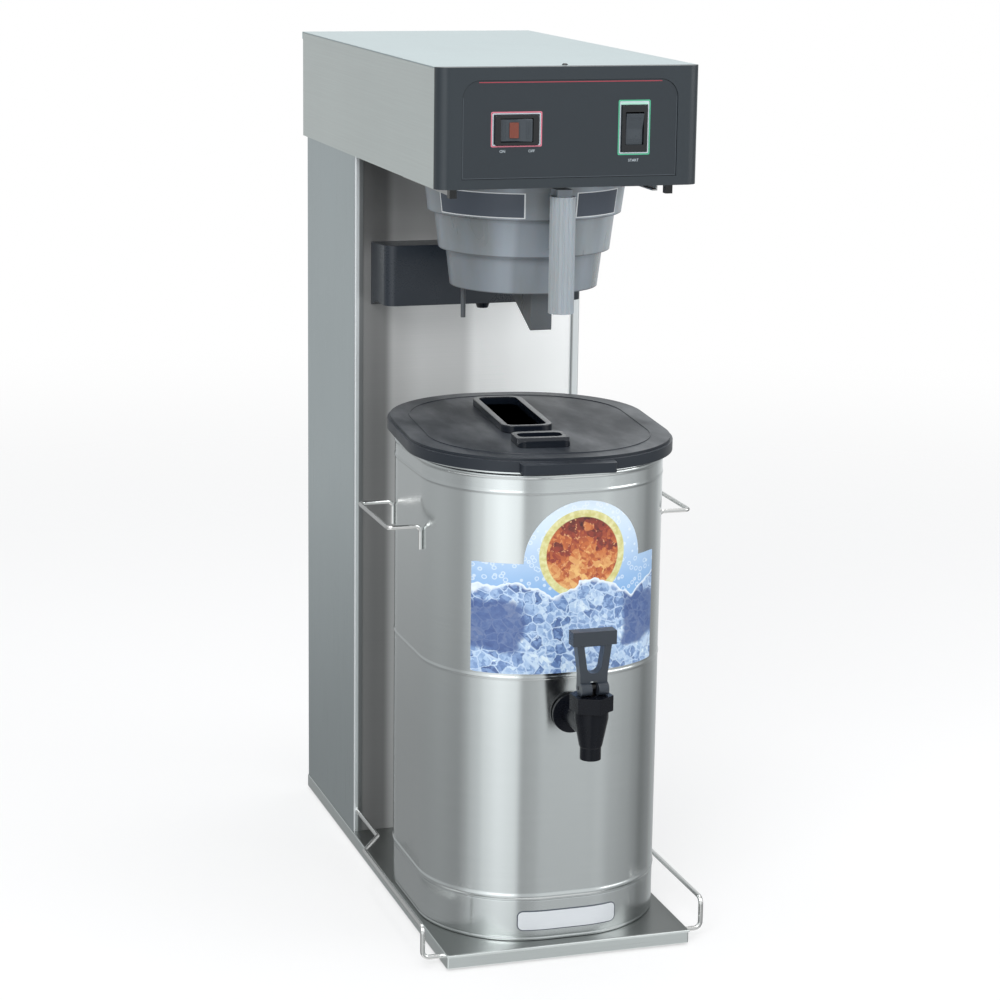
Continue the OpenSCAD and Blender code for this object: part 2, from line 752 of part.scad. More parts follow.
module dilution_nozzle() {
    color("black") translate(at(0, nozzle_at, 0)) difference() {
        union() {
            translate([0, 0, nozzle_seat_z - nozzle_out])
                cylinder(d1 = nozzle_dia - 4, d2 = nozzle_dia, h = nozzle_out);
            translate([0, 0, nozzle_seat_z]) cylinder(r = nozzle_bore_r, h = dil_wall);
            translate([0, 0, nozzle_seat_z + dil_wall])
                cylinder(r = tube_r, h = nozzle_neck - dil_wall);
        }
        translate([0, 0, nozzle_seat_z - nozzle_out - 1]) cylinder(r = tube_r - 2, h = 100);
    }
}

// Brew funnel: three stepped tiers, sliding flange, fluted handle, chute and foot pins
function tier_pts(r, z0, z1) = [[r - tier_taper, z0], [r, z1]];
module brew_funnel() {
    w = funnel_wall;
    r1 = tier_1;
    r2 = tier_2;
    r3 = tier_3;
    web_z = funnel_z1 + tier_h * 0.25;
    web_r = r2 - tier_taper * 0.75;
    z_hi = rim_z - 7;
    chute_z = funnel_z0 - chute_drop;
    color([0.6, 0.62, 0.64, 0.9]) difference() {
        union() {
            translate(at(0, funnel_at, 0)) {
                rotate_extrude($fn = 96) polygon([
                    [0, funnel_z0], [r3 - tier_taper, funnel_z0], [r3, funnel_z1],
                    [r2 - tier_taper, funnel_z1], [r2, funnel_z2], [r1 - tier_taper, funnel_z2],
                    [r1, rim_z], [r1 - w, rim_z], [r1 - tier_taper - w, funnel_z2 + w],
                    [r2 - w, funnel_z2 + w], [r2 - tier_taper - w, funnel_z1 + w],
                    [r3 - w, funnel_z1 + w], [r3 - tier_taper - w, funnel_z0 + w],
                    [0, funnel_z0 + w]]);
                difference() {
                    translate([0, 0, rim_z - flange_t]) union() {
                        cylinder(r = r1 + 2, h = flange_t, $fn = 96);
                        translate([-flange_across / 2, -flange_len / 2, 0])
                            cube([flange_across, flange_len, flange_t]);
                    }
                    translate([0, 0, rim_z - flange_t - 1])
                        cylinder(r = r1 - w + 1, h = flange_t + 2, $fn = 96);
                }
            }
            translate(at(0, funnel_at + grip_out, rim_z - grip_len)) difference() {
                cylinder(d = grip_dia, h = grip_len - 7);
                for (a = [0 : 360 / 14 : 359]) rotate(a)
                    translate([grip_dia / 2 + 0.9, 0, -1])
                        cylinder(r = 1.7, h = grip_len, $fn = 24);
            }
            side_profile(0, 8, [for (p = [
                [web_r - 1.5, web_z], [r2 - 1.5, funnel_z2], [r1 - tier_taper - 1.5, funnel_z2],
                [r1 - 1.5, z_hi], [grip_out, z_hi], [grip_out, web_z]])
                [funnel_at + p[0], p[1]]]);
            side_profile(0, grip_dia * 0.6, [for (p = [
                [r1 - 1.5, z_hi], [r1 - 1.5, rim_z], [grip_out + 6, rim_z], [grip_out + 6, z_hi]])
                [funnel_at + p[0], p[1]]]);
            side_profile(0, chute_w, [for (p = [
                [0, funnel_z0 + 1], [chute_out, funnel_z0 + 1], [chute_out, chute_z],
                [chute_out - 3, chute_z], [0, funnel_z0 - 13]]) [funnel_at + p[0], p[1]]]);
            for (p = [[-64, 0], [58, -35]])
                translate(at(p[0], funnel_at + p[1], chute_z + 6))
                    cylinder(d = stud_dia, h = funnel_z0 + 1 - chute_z - 6, $fn = 32);
        }
        side_profile(0, chute_w - 2 * w, [for (p = [
            [w, funnel_z0], [chute_out - w, funnel_z0], [chute_out - w, chute_z - 5],
            [chute_out - w - 10, chute_z - 5], [chute_out - w - 10, chute_z + 6.5],
            [w, funnel_z0 - 13 + w]]) [funnel_at + p[0], p[1]]]);
        translate(at(0, funnel_at + w + 8, funnel_z0 - 2)) cylinder(r = 6.5, h = w + 4);
    }
}

// Hot water tank in the column, with its gasket, lid, heater and sensors
boiler_rim = boiler_r + 5;
nipple_r = tube_r;
nipple_h = 12;
gasket_t = 2;
lid_z = boiler_top + gasket_t;
boiler_lid_t = 3;
element_r = 4;
element_x = 32;
probe_x = -40;
module hot_water_tank() {
    color("silver") translate(at(0, boiler_at, boiler_z)) difference() {
        union() {
            cylinder(r = boiler_r, h = boiler_h);
            translate([0, 0, boiler_h - 2]) cylinder(r = boiler_rim, h = 2);
            translate([-valve_x, 0, -nipple_h]) cylinder(r = nipple_r, h = nipple_h + 1);
        }
        translate([0, 0, boiler_t]) cylinder(r = boiler_r - boiler_t, h = boiler_h);
        translate([-valve_x, 0, -nipple_h - 1])
            cylinder(r = nipple_r - 1.5, h = nipple_h + 10);
    }
}
module tank_gasket() {
    color("firebrick") translate(at(0, boiler_at, boiler_top)) difference() {
        cylinder(r = boiler_rim, h = gasket_t);
        translate([0, 0, -1]) cylinder(r = boiler_r - boiler_t, h = gasket_t + 2);
    }
}
module tank_lid() {
    color("silver") translate(at(0, boiler_at, lid_z)) difference() {
        union() {
            cylinder(r = boiler_rim, h = boiler_lid_t);
            cylinder(r = nipple_r, h = boiler_lid_t + nipple_h);
        }
        translate([0, 0, -1]) cylinder(r = nipple_r - 1.5, h = 40);
        for (s = [-1, 1]) translate([element_x, s * element_x / 2, -1])
            cylinder(r = element_r + slack, h = boiler_lid_t + 2);
        translate([probe_x, 0, -1]) cylinder(r = probe_r + slack, h = boiler_lid_t + 2);
    }
}
element_rise = 14;    // terminals above the tank's lid
module heating_element() {
    low = boiler_z + 40;
    color("darkgray") wire([
        at(element_x, boiler_at - element_x / 2, lid_z + boiler_lid_t + element_rise),
        at(element_x, boiler_at - element_x / 2, low),
        at(element_x, boiler_at + element_x / 2, low),
        at(element_x, boiler_at + element_x / 2, lid_z + boiler_lid_t + element_rise)
    ], element_r, element_x * 0.45, 12, 8);
}
probe_len = 130;
probe_r = 3;
probe_nut_h = 6;
module temperature_probe() {
    color("silver") translate(at(probe_x, boiler_at, lid_z + boiler_lid_t)) {
        translate([0, 0, -probe_len]) cylinder(r = probe_r, h = probe_len + probe_nut_h / 2);
        cylinder(r = probe_r + 4, h = probe_nut_h, $fn = 6);
    }
}
thermostat_at = 55;   // in front of the tank's axis
module overheat_thermostat() {
    color("dimgray") translate(at(0, boiler_at + thermostat_at, lid_z + boiler_lid_t)) {
        cylinder(r = 11, h = 3);
        cylinder(r = 8, h = 10);
    }
}
module tank_shelf() {
    color("gray") difference() {
        slab(-trunk_w / 2 + sheet, trunk_w / 2 - sheet, sheet, trunk_d - 24, shelf_z,
             shelf_z + shelf_t);
        translate(at(-valve_x, boiler_at, shelf_z - 1))
            cylinder(r = nipple_r + 1, h = shelf_t + 2);
    }
}

// Cold water side: fitting in the rear wall, manifold and two valves on a bracket
inlet_z = tray_top + inlet_up;
mani_h = 22;
mani_d0 = 20;
mani_d1 = 42;
valve_z = inlet_z + mani_h / 2;
valve_out_at = mani_d1 + 18;
valve_out_z = valve_z + 14;
module inlet_fitting() {
    color("goldenrod") difference() {
        union() {
            along_y(inlet_x, -rear_reach, -3, inlet_z, inlet_r);
            translate(at(inlet_x, 0, inlet_z)) rotate([-90, 0, 0])
                cylinder(r = inlet_r + 4, h = 3, $fn = 6);
            along_y(inlet_x, 0, mani_d0, inlet_z, inlet_neck_r);
        }
        along_y(inlet_x, -rear_reach - 1, mani_d0 + 1, inlet_z, 3);
    }
}
module inlet_manifold() {
    color("goldenrod") difference() {
        union() {
            slab(-valve_x - 11, inlet_x + 11, mani_d0, mani_d1, inlet_z - mani_h / 2,
                 inlet_z + mani_h / 2);
        }
        translate(at(-valve_x - 6, (mani_d0 + mani_d1) / 2, inlet_z)) rotate([0, 90, 0])
            cylinder(r = 4, h = inlet_x + valve_x + 6);
        along_y(inlet_x, mani_d0 - 1, (mani_d0 + mani_d1) / 2, inlet_z, 3);
        for (s = [-1, 1]) translate(at(s * valve_x, (mani_d0 + mani_d1) / 2, inlet_z))
            cylinder(r = 3, h = mani_h);
    }
}
module water_valve(x) {
    mid = (mani_d0 + mani_d1) / 2;
    difference() {
        union() {
            slab(x - 14, x + 14, mid - 14, mid + 14, valve_z, valve_z + 26);
            translate(at(x, mid, valve_z + 26)) cylinder(r = 17, h = 30);
            translate(at(x, mid, valve_z + 56)) cylinder(r = 6, h = 4);
            along_y(x, mid + 13, valve_out_at, valve_out_z, nipple_r);
        }
        along_y(x, mid, valve_out_at + 1, valve_out_z, nipple_r - 2);
        translate(at(x, mid, valve_z - 1)) cylinder(r = 3, h = 15);
    }
}
module brew_valve() { color("steelblue") water_valve(-valve_x); }
module dilution_valve() { color("seagreen") water_valve(valve_x); }
bracket_t = 1.5;
bracket_h = 24;
bracket_side = 16;    // past the valves' and the inlet's axes
module valve_bracket() {
    z = inlet_z - mani_h / 2;
    color("gray") {
        slab(-valve_x - bracket_side, inlet_x + bracket_side, sheet, sheet + bracket_t,
             z - bracket_h, z);
        slab(-valve_x - bracket_side, inlet_x + bracket_side, sheet, mani_d1 + 4,
             z - bracket_t, z);
    }
}

// Water tubes
module fill_tube() {
    x = -valve_x;
    color("ivory") wire([
        at(x, valve_out_at, valve_out_z), at(x, boiler_at, valve_out_z),
        at(x, boiler_at, boiler_z - nipple_h)
    ], tube_r, 18, 10, 6);
}
module dilution_tube() {
    d = trunk_d - 2 * sheet - tube_r - 4;
    color("ivory") wire([
        at(valve_x, valve_out_at, valve_out_z), at(valve_x, d, valve_out_z),
        at(valve_x, d, dil_tube_z), at(0, d, dil_tube_z), at(0, nozzle_at, dil_tube_z),
        at(0, nozzle_at, nozzle_seat_z + nozzle_neck)
    ], tube_r, 12, 10, 6);
}
spray_rise = 40;      // hood floor to the tube's middle
module spray_tube() {
    z = hood_floor_z + spray_rise;
    color("ivory") wire([
        at(0, boiler_at, lid_z + boiler_lid_t + nipple_h), at(0, boiler_at, z),
        at(0, funnel_at, z), at(0, funnel_at, hood_floor_z + spray_stub)
    ], tube_r, 15, 10, 6);
}

// Electrical parts on the hood floor and the cord gland in the rear wall
board_z = hood_floor_z + sheet + 8;
board = [120, 80];
board_t = 1.6;
transformer = [30, 26, 24];
relay = [16, 20, 15];
relay_step = 22;
capacitor_r = 6;
capacitor_h = 18;
connector = [36, 12, 10];
board_at = 300;
board_x = 62;
module control_board() {
    color("darkgreen") translate(at(board_x, board_at, board_z)) {
        translate([-board[0] / 2, -board[1] / 2, 0]) cube([board[0], board[1], board_t]);
        translate([-48, -28, board_t]) cube(transformer);
        for (k = [0 : 2]) translate([-10 + relay_step * k, -28, board_t]) cube(relay);
        for (k = [0 : 1]) translate([-36 + 18 * k, 22, board_t])
            cylinder(r = capacitor_r, h = capacitor_h);
        translate([12, 8, board_t]) cube(connector);
    }
}
module board_posts() {
    color("white") for (sx = [-1, 1], sy = [-1, 1])
        translate(at(board_x + sx * (board[0] / 2 - 6), board_at + sy * (board[1] / 2 - 6),
                     hood_floor_z + sheet))
            cylinder(r = 3, h = board_z - hood_floor_z - sheet);
}
module terminal_block() {
    color("ivory") difference() {
        slab(-100, -40, board_at - 12, board_at + 12, hood_floor_z + sheet,
             hood_floor_z + sheet + 18);
        for (k = [0 : 3]) translate(at(-92.5 + 15 * k, board_at, hood_floor_z + sheet + 8))
            cylinder(r = 4, h = 12, $fn = 24);
    }
}
module cord_gland() {
    color("black") difference() {
        union() {
            along_y(-cord_x, -4, 0, inlet_z, gland_r + 3);
            along_y(-cord_x, 0, 14, inlet_z, gland_r);
            translate(at(-cord_x, 7, inlet_z)) rotate([-90, 0, 0])
                cylinder(r = gland_r + 4, h = 7 - sheet, $fn = 6);
        }
        along_y(-cord_x, -5, 15, inlet_z, 5);
    }
}

// Dispenser: base skirt, tank shell with beads, and the floor of the tank above the skirt
module at_disp() { translate(at(0, disp_at, 0)) children(); }
skirt_top = disp_z + skirt_h;
skirt_t = 1.5;
module dispenser_skirt() {
    color("silver") at_disp() {
        translate([0, 0, disp_z]) oval_wall(tank_a, tank_b, tank_r, skirt_t, skirt_h);
        translate([0, 0, skirt_top - 10])
            oval_wall(tank_a - tank_t - 0.1, tank_b - tank_t - 0.1, tank_r - tank_t - 0.1,
                      skirt_t, 22);
        translate([0, 0, disp_z]) oval_wall(tank_a, tank_b, tank_r, 12, skirt_t);
    }
}
module bead(z, out) {
    translate([0, 0, z - bead_h / 2])
        oval_wall(tank_a + out, tank_b + out, tank_r + out, out + tank_t / 2, bead_h);
}
tap_z = tray_top + tap_up;
module dispenser_shell() {
    color("gainsboro") at_disp() difference() {
        union() {
            translate([0, 0, skirt_top])
                oval_wall(tank_a, tank_b, tank_r, tank_t, tank_top - skirt_top);
            bead(skirt_top + bead_h / 2 + 1, bead_out);
            bead(tray_top + bead_mid, bead_out);
            bead(tray_top + bead_top, bead_out);
            bead(tank_top - lid_h - 5, bead_out * 2);
        }
        translate([0, 0, tap_z]) rotate([90, 0, 0])
            cylinder(r = shank_r + 0.15, h = tank_b + 10);
    }
}
module tank_floor() {
    a = tank_a - tank_t - 0.1;
    b = tank_b - tank_t - 0.1;
    r = tank_r - tank_t - 0.1;
    color("silver") at_disp() translate([0, 0, tray_top + floor_up]) {
        linear_extrude(tank_t) oval(a, b, r);
        translate([0, 0, -12]) oval_wall(a, b, r, tank_t, 12 + tank_t / 2);
    }
}

// Wire handle on the side s, welded to the tank at both ends
module bail(s) {
    z = tray_top + bail_up;
    wr = bail_dia / 2;
    e = wr + skin_gap;
    function leg_x(dy) = oval_x(tank_a + e, tank_b + e, tank_r + e, dy);
    d0 = disp_at - 8 - bail_half;
    d1 = disp_at - 8 + bail_half;
    x0 = leg_x(-8 - bail_half);
    x1 = leg_x(-8 + bail_half);
    color("gainsboro") wire([
        at(s * x0, d0, z - bail_leg), at(s * x0, d0, z), at(s * bail_x, d0, z),
        at(s * bail_x, d1, z), at(s * x1, d1, z), at(s * x1, d1, z - bail_leg)
    ], wr, bail_dia * 1.2);
}
module left_handle() { bail(-1); }
module right_handle() { bail(1); }

// Thin plates that follow the tank's front wall; the child is the outline in X and Z
module on_front(t) {
    at_disp() intersection() {
        translate([0, 0, disp_z]) oval_wall(tank_a + skin_gap + t, tank_b + skin_gap + t,
                                            tank_r + skin_gap + t, t, tank_top - disp_z);
        rotate([90, 0, 0]) linear_extrude(tank_b + 10) children();
    }
}
module nameplate() {
    color("gainsboro") on_front(decal_t * 2)
        translate([2, disp_z + skirt_h / 2]) rounded(plate_w, plate_h, 6);
}
decal_z = tray_top + bead_mid + bead_h / 2 + 3;
module front_decal() {
    color([0.45, 0.6, 0.9]) on_front(decal_t) {
        translate([0, decal_z + decal_h / 2]) rounded(decal_w, decal_h, 14);
        translate([12, decal_z + decal_h]) circle(crest_r, $fn = 96);
    }
}

// Lid: lies on the tank's rim, turned a little, with a lip inside the tank
module at_lid() { at_disp() rotate([0, 0, lid_turn]) children(); }
lid_top = tank_top + slack + lid_t + 0.1;
lid_low = lid_top - lid_h;
lid_wall = 3;
lip_gap = 7;
collar_mid = 29;      // lid's middle to the collar's middle, towards the rear
grip_mid = -100;      // lid's middle to the grip's middle, towards the front
module dispenser_lid() {
    color([0.23, 0.25, 0.29]) at_lid() difference() {
        union() {
            difference() {
                union() {
                    translate([0, 0, lid_low]) linear_extrude(lid_h - 3) oval(lid_a, lid_b, lid_r);
                    translate([0, 0, lid_low]) linear_extrude(lid_h)
                        oval(lid_a - 2.5, lid_b - 2.5, lid_r - 2.5);
                    translate([0, -lid_b + 8, lid_low]) linear_extrude(lid_h - 4)
                        translate([0, -(8 + tab_out) / 2]) rounded(tab_w, 8 + tab_out, 4);
                }
                translate([0, 0, lid_low - 1]) linear_extrude(lid_h + 1 - lid_t)
                    oval(lid_a - lid_wall, lid_b - lid_wall, lid_r - lid_wall);
            }
            translate([0, 0, lid_low - 3])
                oval_wall(tank_a - tank_t - lip_gap, tank_b - tank_t - lip_gap,
                          tank_r - tank_t - lip_gap, 2.5, lid_h + 3 - lid_t / 2);
            translate([0, 0, lid_top - lid_t])
                oval_wall(lid_a - 22, lid_b - 22, lid_r - 22, 1.5, lid_t + 0.8);
        }
        translate([-collar_shift, collar_mid, lid_low - 10]) linear_extrude(lid_h + 20)
            rounded(collar_w + collar_wall + slack, collar_len + collar_wall + slack, 8);
    }
}
module lid_collar() {
    color("black") at_lid() translate([-collar_shift, collar_mid, 0]) difference() {
        union() {
            translate([0, 0, lid_top]) linear_extrude(collar_h)
                rounded(collar_w + 2 * collar_wall, collar_len + 2 * collar_wall, 14);
            translate([0, 0, lid_top - lid_t]) linear_extrude(lid_t + 1)
                rounded(collar_w + collar_wall, collar_len + collar_wall, 8);
        }
        translate([0, 0, lid_top - 10]) linear_extrude(30)
            rounded(collar_w, collar_len, 8);
    }
}
module lid_grip() {
    color("black") at_lid() translate([-collar_shift, grip_mid, lid_top]) difference() {
        linear_extrude(collar_h) rounded(grip_w, grip_d, 9);
        translate([0, 5, 2]) linear_extrude(collar_h) rounded(grip_w - 9, grip_d * 0.42, 6);
        translate([-grip_w, -grip_d / 2 - 1, collar_h]) rotate([-32, 0, 0])
            translate([0, -20, 0]) cube([2 * grip_w, 30, 20]);
    }
}

// Tap
module at_tap() { translate(at(0, tap_at, tap_z)) children(); }
spout_drop = 29;                   // shank's axis to the spout's mouth
body_up = 21;                      // shank's axis to the bonnet's seat
seat_t = 3;
neck_r = bonnet_r - 7.2;
pin_up = body_up + bonnet_h + 7;   // shank's axis to the handle's pin
head_w = 6;
head_r = 4.5;
cup_h = 12;
seal_t = 2;
flange_thick = 4;
module tap_body() {
    out = tank_b + tap_out;
    color([0.13, 0.15, 0.18]) at_tap() difference() {
        union() {
            rotate_extrude() polygon([
                [0, -spout_drop], [spout_r, -spout_drop], [spout_r, -spout_drop + 12],
                [spout_r + 1, -spout_drop + 14], [tap_r, 13], [tap_r, body_up],
                [neck_r, body_up], [neck_r, body_up + bonnet_h - 5],
                [0, body_up + bonnet_h - 5]]);
            rotate([-90, 0, 0]) cylinder(r = shank_r, h = tap_out + tank_t + 14);
            translate([0, tap_out - seal_t - flange_thick, 0]) rotate([-90, 0, 0])
                cylinder(r = shank_flange_r, h = flange_thick);
        }
        translate([0, 0, -spout_drop + seat_t]) cylinder(r = tap_bore_r, h = 100);
        translate([0, 0, -spout_drop - 1]) cylinder(r = tap_bore_r - 1.7, h = 20);
        rotate([-90, 0, 0]) cylinder(r = shank_r - 3.5, h = 200);
        translate([-4, -tap_r - 20 + 1.6, -10]) rotate([9, 0, 0]) cube([8, 20, 26]);
    }
}
module tap_bonnet() {
    color([0.13, 0.15, 0.18]) at_tap() translate([0, 0, body_up]) difference() {
        rotate([0, 0, -bonnet_turn]) cylinder(r = bonnet_r, h = bonnet_h, $fn = 6);
        translate([0, 0, -1]) cylinder(r = neck_r + 0.1, h = bonnet_h - 4);
        cylinder(r = head_r + 1.5, h = bonnet_h + 1);
    }
}
module tap_seal() {
    color("dimgray") at_tap() translate([0, tap_out - seal_t, 0]) rotate([-90, 0, 0])
        difference() {
            cylinder(r = shank_flange_r - 2, h = seal_t - 0.05);
            translate([0, 0, -1]) cylinder(r = shank_r + 0.1, h = 5);
        }
}
module tap_nut() {
    color([0.2, 0.2, 0.22]) at_tap() translate([0, tap_out + tank_t + 0.05, 0])
        rotate([-90, 0, 0]) difference() {
            cylinder(r = shank_r + 6, h = 8, $fn = 6);
            translate([0, 0, -1]) cylinder(r = shank_r + pin_gap, h = 10);
        }
}
// The handle turns on a pin in the stem's head. Its toe rests on the bonnet, so that pulling
// the handle forward lifts the pin and the stem.
toe = stem_lift / sin(45);
foot_r = pin_up - body_up - bonnet_h - run_gap;
neck_w = 28;
bar_h = 14;
module tap_handle() {
    t = handle_t;
    color([0.13, 0.15, 0.18]) at_tap() translate([0, 0, pin_up]) difference() {
        union() {
            for (y = [0, -toe]) translate([0, y, 0]) rotate([0, 90, 0])
                cylinder(r = foot_r, h = neck_w, center = true);
            translate([-neck_w / 2, -toe, -foot_r]) cube([neck_w, toe, 2 * foot_r]);
            translate([-neck_w / 2, -t / 2, 0]) cube([neck_w, t, 15]);
            translate([0, t / 2, 0]) rotate([90, 0, 0]) linear_extrude(t) polygon([
                [-neck_w / 2, 14], [neck_w / 2, 14],
                [neck_w / 2 + 4, handle_h - bar_h + 1], [-neck_w / 2 - 4, handle_h - bar_h + 1]]);
            translate([-bar_w / 2, -t / 2 - 1, handle_h - bar_h]) cube([bar_w, t + 2, bar_h]);
        }
        rotate([0, 90, 0]) cylinder(r = tap_pin_r + pin_gap, h = neck_w + 2, center = true);
        translate([0, -toe / 2, 0])
            cube([head_w + 2 * run_gap, toe + 2 * foot_r + 2, 2 * (foot_r + 1)], center = true);
        translate([0, t, 0]) rotate([90, 0, 0]) linear_extrude(2 * t) {
            translate([0, 23]) circle(7.5);
            polygon([[-7.5, 23], [7.5, 23], [10.5, handle_h - bar_h - 1],
                     [-10.5, handle_h - bar_h - 1]]);
        }
    }
}
module tap_pin() {
    color("silver") at_tap() translate([0, 0, pin_up]) rotate([0, 90, 0])
        cylinder(r = tap_pin_r, h = neck_w - 1, center = true);
}
module tap_stem() {
    low = -spout_drop + seat_t + slack + cup_h;
    color("silver") at_tap() difference() {
        union() {
            translate([0, 0, low]) cylinder(r = stem_r, h = pin_up - low);
            translate([0, 0, pin_up]) rotate([0, 90, 0])
                cylinder(r = head_r, h = head_w, center = true);
        }
        translate([0, 0, pin_up]) rotate([0, 90, 0])
            cylinder(r = tap_pin_r + pin_gap, h = head_w + 2, center = true);
    }
}
module tap_seat_cup() {
    color("whitesmoke") at_tap() translate([0, 0, -spout_drop + seat_t + slack])
        cylinder(r = tap_bore_r - 0.5, h = cup_h);
}

base_tray();
rubber_feet();
left_guide_wire();
right_guide_wire();
trunk_shell();
splash_panel();
hood_shell();
hood_cover();
cover_screws();
hood_floor();
control_fascia();
fascia_overlay();
power_switch();
power_rocker();
power_lens();
start_switch();
start_rocker();
funnel_rails();
sprayhead();
sprayhead_nut();
dilution_housing();
dilution_nozzle();
brew_funnel();
hot_water_tank();
tank_gasket();
tank_lid();
heating_element();
temperature_probe();
overheat_thermostat();
tank_shelf();
inlet_fitting();
inlet_manifold();
brew_valve();
dilution_valve();
valve_bracket();
fill_tube();
dilution_tube();
spray_tube();
control_board();
board_posts();
terminal_block();
cord_gland();
dispenser_skirt();
dispenser_shell();
tank_floor();
left_handle();
right_handle();
nameplate();
front_decal();
tap_body();
tap_bonnet();
tap_seal();
tap_nut();
tap_handle();
tap_pin();
tap_stem();
tap_seat_cup();
dispenser_lid();
lid_collar();
lid_grip();
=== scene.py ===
"""Looks of a counter-top iced tea maker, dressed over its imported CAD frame.

Lengths inside the classes are millimetres; a piece is scaled to metres when it is finished.
"""

import json
import logging
import math
from dataclasses import dataclass
from enum import Enum
from functools import reduce
from typing import Any, Callable, Iterable, Sequence

import bmesh
import bpy
from mathutils import Matrix, Vector

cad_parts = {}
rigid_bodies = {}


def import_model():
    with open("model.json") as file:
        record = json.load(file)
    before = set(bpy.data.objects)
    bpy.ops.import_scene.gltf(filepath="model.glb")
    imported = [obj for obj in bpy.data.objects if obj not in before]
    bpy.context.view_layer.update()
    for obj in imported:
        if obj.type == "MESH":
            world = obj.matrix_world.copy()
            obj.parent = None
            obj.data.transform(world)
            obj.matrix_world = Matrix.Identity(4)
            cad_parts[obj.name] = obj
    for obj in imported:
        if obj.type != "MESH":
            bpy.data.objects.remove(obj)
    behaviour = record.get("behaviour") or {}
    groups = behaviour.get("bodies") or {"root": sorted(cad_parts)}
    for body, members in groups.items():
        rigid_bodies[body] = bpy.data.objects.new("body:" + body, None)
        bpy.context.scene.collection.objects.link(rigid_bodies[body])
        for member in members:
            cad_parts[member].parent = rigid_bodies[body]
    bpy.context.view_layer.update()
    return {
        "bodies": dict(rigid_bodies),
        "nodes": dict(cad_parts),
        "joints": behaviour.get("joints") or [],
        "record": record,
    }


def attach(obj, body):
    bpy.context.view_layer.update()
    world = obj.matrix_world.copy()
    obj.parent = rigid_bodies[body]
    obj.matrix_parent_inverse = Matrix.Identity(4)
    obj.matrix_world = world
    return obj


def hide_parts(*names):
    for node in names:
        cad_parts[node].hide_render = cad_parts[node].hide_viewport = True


LOG = logging.getLogger("tea_maker")
MM = 0.001
NEAR = 1e-3
Colour = tuple[float, float, float]
Place = Sequence[float]
Profile = Sequence[tuple[float, float]]


class Axis(Enum):
    """Direction along which a sheet was brushed."""

    X = "x"
    Y = "y"
    Z = "z"
    ROUND = "round"


class Cut(Enum):
    """What a second shape does to a first one."""

    AWAY = "DIFFERENCE"
    WITHIN = "INTERSECT"
    ADDED = "UNION"


# ---------------------------------------------------------------- layout


@dataclass(frozen=True)
class Layout:
    """Shared levels and depths of the machine; depths run forward from the column's rear."""

    rear: float = 319.8
    tray_top: float = 17.0
    trunk_w: float = 258.0
    trunk_d: float = 211.0
    hood_w: float = 268.0
    hood_len: float = 527.0
    hood_z: float = 779.0
    hood_floor_z: float = 792.0
    top_z: float = 895.0
    sheet: float = 1.2
    hood_high: float = 893.7
    dispenser_at: float = 423.0
    tank_top: float = 519.5
    tap_z: float = 258.0
    funnel_at: float = 400.0

    def at(self, x: float, depth: float, z: float) -> Vector:
        """Gives the point at a sideways place, a depth and a height, in millimetres."""
        return Vector((x, self.rear - depth, z))


LAY = Layout()


def show(thing: bpy.types.Object) -> bpy.types.Object:
    """Links an object to the scene and gives it back."""
    bpy.context.scene.collection.objects.link(thing)
    return thing


def filled(name: str, bm: bmesh.types.BMesh, material: bpy.types.Material) -> bpy.types.Object:
    """Makes an object from a bmesh and frees it.

    Args:
        name: The object's name and its mesh's.
        bm: The bmesh.
        material: The object's first material.

    Returns:
        The object, not yet in the scene.
    """
    mesh = bpy.data.meshes.new(name)
    bm.to_mesh(mesh)
    bm.free()
    mesh.materials.append(material)
    return bpy.data.objects.new(name, mesh)


def round_off(bm: bmesh.types.BMesh, geom: Sequence[Any], width: float, segments: int,
              what: str = "EDGES", **options: bool) -> None:
    """Rounds some edges or corners of a mesh.

    Args:
        bm: The mesh.
        geom: The edges or vertices.
        width: How far the rounding reaches from each.
        segments: Facets across it.
        what: EDGES or VERTICES.
        options: Further settings of the operator.
    """
    bmesh.ops.bevel(bm, geom=geom, offset=width, offset_type="OFFSET", segments=segments,
                    profile=0.5, affect=what, material=-1, **options)


def only(kind: type, made: Iterable[Any]) -> list[Any]:
    """Gives the elements of one kind, such as vertices, out of an operator's result."""
    return [item for item in made if isinstance(item, kind)]


def lay(point: Place, level: float, axis: int) -> Vector:
    """Gives a flat point's place at a level along the axis that its plane lies across.

    Args:
        point: The point's two coordinates, in axis order.
        level: Where the plane lies.
        axis: Index of the axis.

    Returns:
        The place.
    """
    place = list(point)
    place.insert(axis, level)
    return Vector(place)


def solid_mesh(thing: bpy.types.Object) -> bpy.types.Mesh:
    """Gives a new mesh of an object with its modifiers, curves and text worked out."""
    graph = bpy.context.evaluated_depsgraph_get()
    return bpy.data.meshes.new_from_object(thing.evaluated_get(graph))


# ---------------------------------------------------------------- node trees


